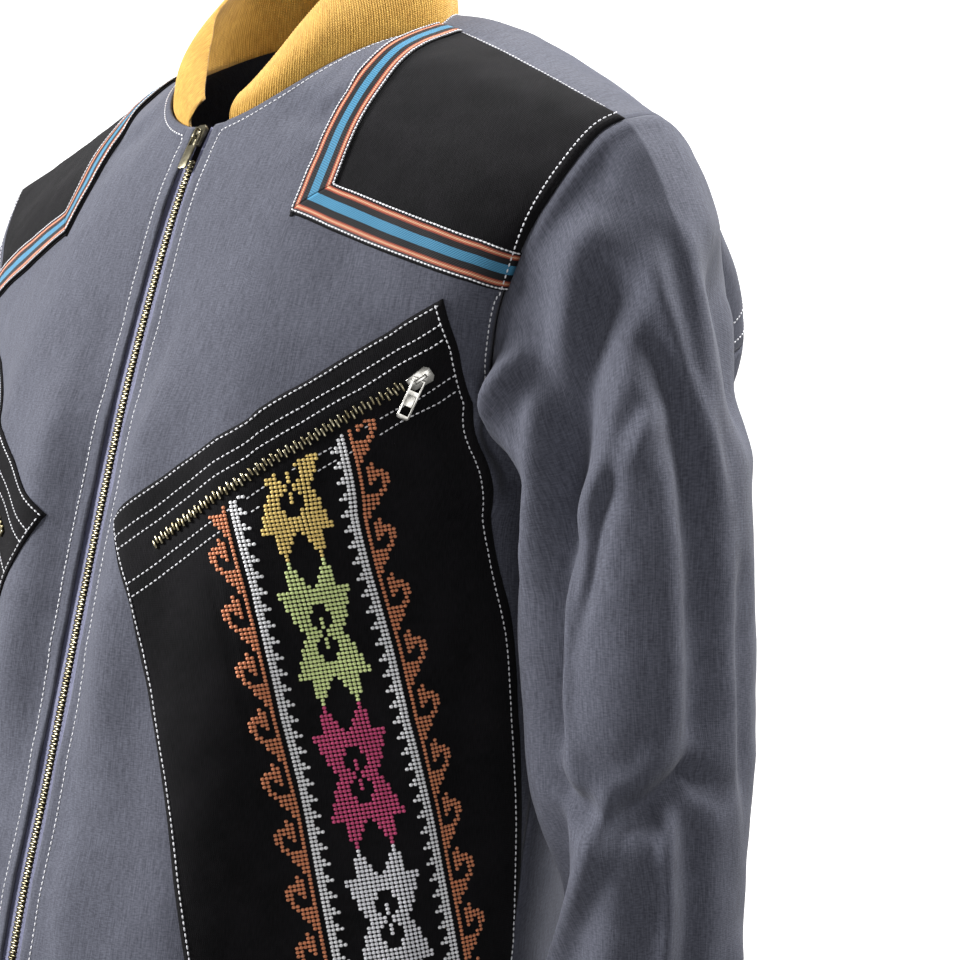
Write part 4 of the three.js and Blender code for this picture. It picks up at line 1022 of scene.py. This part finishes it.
PANEL_COLUMNS, PANEL_ROWS = 70, 120
PANEL_ACROSS, PANEL_LONG = 100, 350
PANEL_SEAM = ((97, -276), (166, -476))
panel_s, panel_t = np.meshgrid(np.linspace(0, 1, PANEL_COLUMNS + 1), np.linspace(0, 1, PANEL_ROWS + 1))
panel_sides = []
for side_table, upper_z in ((PANEL_INNER, -269), (PANEL_OUTER, -157)):
    side_z = upper_z + panel_t * (PANEL_Z[-1] - upper_z)
    side_x = np.where(panel_t > 0, panel_side(side_table, side_z), side_table[0])
    panel_sides.append(np.stack([side_x, side_z], -1))
panel_flat = panel_sides[0] * (1 - panel_s[..., None]) + panel_sides[1] * panel_s[..., None]
panel_places = np.array([[find_place(front_round, *spot) for spot in flat_row] for flat_row in panel_flat])


def from_zip_line(flat):
    """Distance above the pocket zip's middle, and along it from its lower end, on the flat cloth."""
    return (flat - ZIP_FROM) @ zip_above, (flat - ZIP_FROM) @ zip_way


above, beside = from_zip_line(panel_flat)
panel_x, panel_z = panel_flat[..., 0], panel_flat[..., 1]
zip_ends = smooth(-6, 0, beside) * (1 - smooth(146, 152, beside))
lips = zip_ends * (0.8 * hump(np.abs(above) - 5.0, 1.3) - 0.45 * (1 - smooth(3.2, 4.4, np.abs(above))))
ZIP_ROWS = (9.5, 16.5, -9.5, -16.5)             # stitching above and below the zip
stitched = -0.3 * sum(hump(above - away, 1.1) for away in ZIP_ROWS)
(seam_x0, seam_z0), (seam_x1, seam_z1) = PANEL_SEAM
seam_across = seam_x0 + (panel_z - seam_z0) * (seam_x1 - seam_x0) / (seam_z1 - seam_z0)
seam = -0.5 * hump(panel_x - seam_across, 1.2) * smooth(-272, -282, panel_z)
edge_dip = -0.35 * (hump(panel_s * PANEL_ACROSS, 1.5) + hump((1 - panel_s) * PANEL_ACROSS, 1.5)
                    + hump(panel_t * PANEL_LONG, 2))
panel, _ = on_front(panel_places, GAP + PATCH + lips + stitched + seam + edge_dip)
panel = panel + outward(panel) * (0.3 * ruffle(panel, 13, 41))[..., None]
panels = make_pair("pocket_panel_cloth", cloth_sheet(panel, panel_flat), black,
                   ["pocket_panel"], wall=PATCH)

# ---- Star band in counted stitches ----
# Thick cotton thread counted over the black panel below the pocket zip: one star under another in four
# colours, between white sawtooth edges and orange running scrolls. The charts are half of each motif.
STITCH_ACROSS, STITCH_DOWN = 2.05, 2.02
BAND_TOP = np.array((149.0, -286.0))
BAND_DOWN = np.array((0.316, -0.949))
BAND_ACROSS = np.array((0.988, 0.155))
STAR = (
    "....#....", "....#....", "...###...", "...###...", "..####...", "..####...", ".#####...", "#########",
    "#########", "########.", "########.", "..######.", "..#####..", "...####..", "#..####..", "#..###...",
    "#.####...", ".####....",
)
SAWTOOTH = ("..##", ".###", "####", "..##")
SCROLL = (
    "#####..", "####...", "####...", "###....", "##.....", "##.....", "#..#...", "#.##...", "#.####.",
    "#.#####", "#.##.##", "#.#..##", "#....#.", "#...##.",
)
# Mercerised cotton thread, dyed, twisted in two plies: a soft gloss on each raised stitch.
THREADS = {"gold": "#ffdf86", "lime": "#f0ffb0", "crimson": "#da5282", "lavender": "#fbfaff",
           "white": "#fdfdff", "orange": "#e08e64"}


def thread_material(name, colour):
    """Dyed thread, its colour painted a little darker where the ply relief is low, as painted shade between
    its plies.
    """
    material, tree, shader = new_material(f"{name} cotton thread", 0.6, gloss=0.3)
    place = add_node(tree, "ShaderNodeTexCoord").outputs["Object"]
    ply = add_node(tree, "ShaderNodeTexNoise", {"Vector": place, "Scale": 900.0, "Detail": 2.0}).outputs[0]
    # The darker colour is painted shade, laid where the ply relief is low.
    dark = "#" + "".join(f"{int(int(colour[i:i + 2], 16) * 0.86):02x}" for i in (1, 3, 5))
    surface(tree, shader, mixed(tree, ply, dark, colour, (0.35, 0.6)), ply, 0.4, sheen=0.1)
    return material


def bead(length, width, height):
    """One stitch: a flattened egg, long along x, standing in z."""
    bm = bmesh.new()
    bmesh.ops.create_icosphere(bm, subdivisions=1, radius=0.5)
    bmesh.ops.scale(bm, verts=bm.verts, vec=(length, width, height))
    return bm


def copies(bm, places):
    """Copies of one small mesh at (centre, long way, outward) places in millimetres, joined."""
    bm.verts.index_update()
    corners = np.array([vert.co[:] for vert in bm.verts])
    faces = np.array([[vert.index for vert in face.verts] for face in bm.faces])
    bm.free()
    centre, way, out = (np.array([p[i] for p in places], float) for i in range(3))
    out = unit(out)
    way = unit(way - out * (way * out).sum(1, keepdims=True))
    axes = np.stack([way, np.cross(out, way), out], 1)
    verts = (np.einsum("vi,nij->nvj", corners, axes) + centre[:, None]) * MM
    faces = faces[None] + (np.arange(len(centre)) * len(corners))[:, None, None]
    mesh = bpy.data.meshes.new("copies")
    mesh.from_pydata(verts.reshape(-1, 3).tolist(), [], faces.reshape(-1, faces.shape[-1]).tolist())
    joined = bmesh.new()
    joined.from_mesh(mesh)
    bpy.data.meshes.remove(mesh)
    return joined


STAR_ROWS = STAR + STAR[::-1]
STAR_ORDER = ("gold", "lime", "crimson", "lavender", "gold", "lime")
STITCH_STAND = 0.15             # of a stitch's middle above the cloth
BAND_CLEAR, BAND_END, BAND_MARGIN = -6.5, -600, 5


def on_band(spot):
    """Whether a stitch lies below the zip's lip, above the hem and clear of the panel's outer side."""
    in_panel = spot[0] < panel_side(PANEL_OUTER, spot[1]) - BAND_MARGIN
    return from_zip_line(spot)[0] < BAND_CLEAR and spot[1] > BAND_END and in_panel


counted = {name: [] for name in THREADS}
for j in range(-len(STAR_ROWS), 165):
    star_colour = STAR_ORDER[j // len(STAR_ROWS) + 1]
    for name, marks, start in ((star_colour, STAR_ROWS[j % len(STAR_ROWS)], 0),
                               ("white", SAWTOOTH[j % len(SAWTOOTH)], 11),
                               ("orange", SCROLL[j % len(SCROLL)], 16)):
        for i in [start + n for n, mark in enumerate(marks) if mark == "#"]:
            for aside in (i, -i) if i else (0,):
                spot = BAND_TOP + BAND_ACROSS * STITCH_ACROSS * aside + BAND_DOWN * STITCH_DOWN * j
                if on_band(spot):
                    counted[name].append(spot)
counted_centres = []
for name, spots in counted.items():
    stand = np.full(len(spots), GAP + PATCH + STITCH_STAND)
    centre, normal = on_front([find_place(front_round, *spot) for spot in spots], stand)
    towards, _ = on_front([find_place(front_round, *(spot + BAND_ACROSS)) for spot in spots], stand)
    counted_centres.append(centre)
    band_stitches = copies(bead(2.35, 2.0, 1.3), list(zip(centre, towards - centre, normal)))
    dyed = thread_material(name, THREADS[name])
    make_pair(f"band_stitches_{name}", band_stitches, dyed, [])

# ---- Topstitching ----
# White polyester thread, lockstitched at 2.9 mm: beside the zip and neckline, round the armholes, along
# both edges of the ribbon, round the pocket panels and in two rows on each side of the pocket zip.
STITCH_PITCH = 2.9


def stitch_line(points, normals, pitch=STITCH_PITCH):
    """Stitches spaced along a line of points, as places for copies."""
    points, normals = np.asarray(points), np.asarray(normals)
    run = distances(points, 0)
    at = np.arange(pitch / 2, run[-1], pitch)
    ahead = read_at(at + 0.5, run, points) - read_at(at - 0.5, run, points)
    return list(zip(read_at(at, run, points), ahead, read_at(at, run, normals)))


def flat_line(spots, lift, under=None):
    """A stitch line through flat-cloth spots on the left front, left out where it runs under others."""
    dense = [np.linspace(a, b, 24)[:-1] for a, b in zip(spots[:-1], spots[1:])]
    dense = np.concatenate(dense + [np.array(spots[-1:])])
    points, normals = on_front([find_place(front_round, *spot) for spot in dense], np.full(len(dense), lift))
    placed = stitch_line(points, normals)
    if under is None:
        return placed
    return [stitch for stitch in placed if np.linalg.norm(under - stitch[0], axis=1).min() > 2.0]


# Beside the zip from the hem up, round the corner and along the neckline to the shoulder seam.
from_edge, from_top = distances(front, 1), distances(front, 0)
neck_line = [(fine_columns[c], np.interp(6.5, from_top[:, c], fine_lines)) for c in range(49)
             if from_edge[5, c] > 9]
up_line = [(np.interp(7.5, from_edge[r], fine_columns), fine_lines[r]) for r in range(FINE_LINES - 1, 0, -1)
           if from_top[r, 3] > 8.5]
zip_side = np.array(up_line + neck_line)
topstitches = stitch_line(*on_front(zip_side, np.full(len(zip_side), 0.1)))
# Round the armhole on the body side, over the patch at the shoulder.
armhole_line = np.array([(np.interp(from_edge[r, -1] - 4.5, from_edge[r], fine_columns), fine_lines[r])
                         for r in range(1, 99)])
on_patch = armhole_line[:, 1] < low_right[1] + 0.05
topstitches += stitch_line(*on_front(armhole_line, np.where(on_patch, RIBBON_LIFT + RIBBON, 0.2)))
# Both edges of the ribbon.
RIBBON_MARGIN = 0.7 / RIBBON_WIDTH
for sewn in ribbon_places.values():
    for share in (RIBBON_MARGIN, 1 - RIBBON_MARGIN):
        ribbon_edge = sewn[0] * (1 - share) + sewn[-1] * share
        lift = np.full(len(ribbon_edge), RIBBON_LIFT + RIBBON + STITCH_STAND)
        topstitches += stitch_line(*on_front(ribbon_edge, lift), 2.2)
# Round the pocket panel and beside its zip.
panel_lift = GAP + PATCH + 0.1
INNER_MARGIN, OUTER_MARGIN = 2.5, 4.5
topstitches += flat_line([(33.5, -270), (192, -161)], panel_lift)
for side_table, margin, upper_z in ((PANEL_INNER, INNER_MARGIN, -271), (PANEL_OUTER, -OUTER_MARGIN, -160)):
    side_line = [(panel_side(side_table, z) + margin, z) for z in np.linspace(upper_z, -600, 12)]
    topstitches += flat_line(side_line, panel_lift)
for away in ZIP_ROWS:
    row_start = row_end = ZIP_FROM + zip_above * away
    while row_start[0] > panel_side(PANEL_INNER, row_start[1]) + 3:
        row_start = row_start - zip_way
    while row_end[0] < panel_side(PANEL_OUTER, row_end[1]) - 5:
        row_end = row_end + zip_way
    topstitches += flat_line([row_start, (row_start + row_end) / 2, row_end], panel_lift - 0.1,
                             under=np.concatenate(counted_centres))
white_thread = thread_material("white polyester", "#e6e6ea")
make_pair("topstitches", copies(bead(2.4, 0.95, 0.8), topstitches), white_thread, [])
# Behind the shoulder seams, in two rows above the yoke's seam with the back, and above the hem band.
yoke_out, back_out = outward(yoke_points), outward(back_points)
whole = slice(None)
yoke_stitches = []
for points, out, row, part in ((yoke_points, yoke_out, 1, slice(4, 74)),
                               (yoke_points, yoke_out, 1, slice(87, 157)),
                               (yoke_points, yoke_out, -2, whole),
                               (yoke_points, yoke_out, -4, whole),
                               (back_points, back_out, -2, whole)):
    yoke_stitches += stitch_line(points[row, part] + 0.2 * out[row, part], out[row, part])
make_piece("yoke_topstitches", copies(bead(2.4, 0.95, 0.8), yoke_stitches), white_thread, [])

# ---- Main zip ----
# Brass teeth clamped on lavender-grey tapes, closed to the neck. Each tape is sewn behind its front's
# turned edge.
TAPE = 0.8
TAPE_X = np.array((3.1, 3.6, 4.4, 6.0, 7.6, 9.5, 12.0, 15.0))
TAPE_RISE = np.array((0.5, 0.45, 0.05, 0, 0, 0, 0, 0))
TAPE_SUNK = RIB + 0.9
front_foot = solid_front[-1, 0]
centre_line = [(0, y, z) for _, y, z in solid_front[:, 0]]
centre_line += [(0, front_foot[1] + 5 * t * t - 1, front_foot[2] - SEAM - t * HEM_DEPTH) for t in (0.4, 1.0)]
zip_curve, zip_length = curve_through(centre_line, 260)
zip_run = distances(zip_curve, 0)
zip_outward = unit(np.cross(np.gradient(zip_curve, axis=0), (1, 0, 0)))
tape_points = (zip_curve[:, None] + TAPE_X[None, :, None] * (1, 0, 0)
               + zip_outward[:, None] * (TAPE_RISE - TAPE_SUNK)[None, :, None])

# Woven polyester zip tape, lavender grey: a fine herringbone with a low sheen.
def make_tape_cloth():
    material, tree, shader = new_material("woven polyester zip tape", 0.7)
    position = flat_position(tree)
    colour = mixed(tree, yarns(tree, position, 0.8, 4.0), "#585a74", "#70718c")
    surface(tree, shader, colour, plain_weave(tree, position, 0.8), 0.4)
    return material


tapes = make_pair("zip_tape_woven", cloth_sheet(tape_points), make_tape_cloth(), ["zip_tape"],
                  wall=TAPE)


def metal(name, colour, dark, roughness):
    """Cast or stamped metal with dull wear in its hollows."""
    material, tree, shader = new_material(name, roughness, 1.0)
    place = add_node(tree, "ShaderNodeTexCoord").outputs["Object"]
    wear = add_node(tree, "ShaderNodeTexNoise", {"Vector": place, "Scale": 260.0, "Detail": 2.0}).outputs[0]
    spread = {"Value": wear, "To Min": roughness + 0.06, "To Max": roughness - 0.04}
    tree.links.new(add_node(tree, "ShaderNodeMapRange", spread).outputs[0], shader.inputs["Roughness"])
    surface(tree, shader, mixed(tree, wear, dark, colour, (0.38, 0.6)), wear, 0.08, depth=0.1)
    return material


# Brass, stamped and tumbled: warm pale yellow with bright worn faces and dark recesses.
brass = metal("tumbled brass", "#aca58c", "#7b7258", 0.34)
# Antique brass plate on cast zinc: duller and greyer.
old_brass = metal("antique brass plate", "#958e78", "#6d6752", 0.33)
# Nickel plate on cast zinc: bright silver with dark hollows.
nickel = metal("nickel plate", "#bcbab5", "#908e89", 0.24)


def tooth(width, length, height):
    """One zip tooth: a block with broken edges, wide along x, standing in z."""
    bm = bmesh.new()
    bmesh.ops.create_cube(bm, size=1)
    bmesh.ops.scale(bm, verts=bm.verts, vec=(width, length, height))
    bmesh.ops.bevel(bm, geom=bm.edges[:], offset=0.22, segments=1, affect="EDGES", profile=0.5, material=-1)
    bmesh.ops.triangulate(bm, faces=bm.faces)
    return bm


TOOTH_PITCH = 1.25              # of both sides together, so that neighbours mesh
TOOTH_ASIDE, TOOTH_SUNK = 0.75, 2.5
CHAIN_TOP = 22
tooth_at = np.arange(CHAIN_TOP, zip_length - 1, TOOTH_PITCH)
tooth_centres, tooth_out = (read_at(tooth_at, zip_run, values) for values in (zip_curve, zip_outward))
chain_places = []
for n, (centre, out) in enumerate(zip(tooth_centres, tooth_out)):
    aside = TOOTH_ASIDE if n % 2 else -TOOTH_ASIDE
    chain_places.append((centre + np.array((aside, 0, 0)) - out * TOOTH_SUNK, np.array((1, 0, 0)), out))
make_piece("zip_chain", copies(tooth(4.1, 0.95, 2.2), chain_places), brass, ["zip_teeth"])

# ---- Pocket zips ----
# Coarser brass teeth on black tape, sewn under the panel's two lips. They stop short of the slider, which
# is closed at the slit's upper end.
POCKET_PITCH = 2.0
POCKET_ASIDE, POCKET_LIFT = 0.8, 1.9
SLIDER_ROOM = 7.5
pocket_places = []
for n, at in enumerate(np.arange(1, float(np.linalg.norm(ZIP_TO - ZIP_FROM)) - SLIDER_ROOM, POCKET_PITCH)):
    here, ahead = (find_place(front_round, *(ZIP_FROM + zip_way * (at + step))) for step in (0, 1))
    (centre, towards), (out, _) = on_front([here, ahead], [POCKET_LIFT, POCKET_LIFT])
    across = unit(np.cross(out, towards - centre))
    pocket_places.append((centre + across * (POCKET_ASIDE if n % 2 else -POCKET_ASIDE), across, out))
pocket_teeth = copies(tooth(4.4, 1.15, 1.6), pocket_places)
make_pair("pocket_zip_chain", pocket_teeth, brass, ["pocket_zip"])

# ---- Sliders and pull tabs ----
# Cast zinc sliders with a bridge, and pull tabs that swing on it: aged brass on the main zip, nickel on the
# pockets.


CAST_ROUND = 0.22


def detailed(name, node, material, body):
    """The CAD piece with its edges rounded as casting and tumbling leave them."""
    source = frame["nodes"][node]
    bm = bmesh.new()
    bm.from_mesh(source.data)
    bmesh.ops.remove_doubles(bm, verts=bm.verts, dist=1e-6)
    bmesh.ops.dissolve_limit(bm, angle_limit=math.radians(2), verts=bm.verts, edges=bm.edges)
    inner = [edge for edge in bm.edges if len(edge.link_faces) == 2]
    sharp = [edge for edge in inner if edge.calc_face_angle(0) > math.radians(35)]
    bmesh.ops.bevel(bm, geom=sharp, offset=CAST_ROUND * MM, segments=2, affect="EDGES", profile=0.5,
                    material=-1, clamp_overlap=True)
    return make_piece(name, bm, material, [node], body)


detailed("main_slider_cast", "zip_slider", old_brass, "jacket")
detailed("main_pull_cast", "zip_pull", old_brass, "main_pull")
# Each pocket pull is stamped with a thin sunk web across the upper part of its frame, and open below it.
PULL_INSIDE = 4.4
WEB_TOP, WEB_LENGTH, WEB = 8.0, 6.4, 0.5
WEB_RIM, WEB_SUNK = 0.5, 0.12
hinges = {joint["child"]: joint for joint in frame["joints"]}
for side in SIDES:
    pull_body = f"{side}_pocket_pull"
    detailed(f"pocket_slider_cast_{side}", f"pocket_slider_{side}", nickel, "jacket")
    pull = detailed(f"pocket_pull_cast_{side}", f"pocket_pull_{side}", nickel, pull_body)
    pivot = Vector(hinges[pull_body]["pos_m"])
    crossbar = Vector(hinges[pull_body]["axis"]).normalized()
    to_middle = sum((vert.co for vert in pull.data.vertices), Vector()) / len(pull.data.vertices) - pivot
    down_tab = (to_middle - crossbar * to_middle.dot(crossbar)).normalized()
    web = bmesh.new()
    bmesh.ops.create_cube(web, size=1)
    bmesh.ops.scale(web, verts=web.verts, vec=(PULL_INSIDE * MM, WEB_LENGTH * MM, WEB * MM))
    wide_faces = [face for face in web.faces if abs(face.normal.z) > 0.5]
    bmesh.ops.inset_individual(web, faces=wide_faces, thickness=WEB_RIM * MM, depth=-WEB_SUNK * MM)
    turned = Matrix((crossbar, down_tab, crossbar.cross(down_tab))).transposed()
    bmesh.ops.rotate(web, verts=web.verts, matrix=turned)
    bmesh.ops.translate(web, verts=web.verts, vec=pivot + down_tab * (WEB_TOP + WEB_LENGTH / 2) * MM)
    make_piece(f"pocket_pull_web_{side}", web, nickel, [], pull_body)
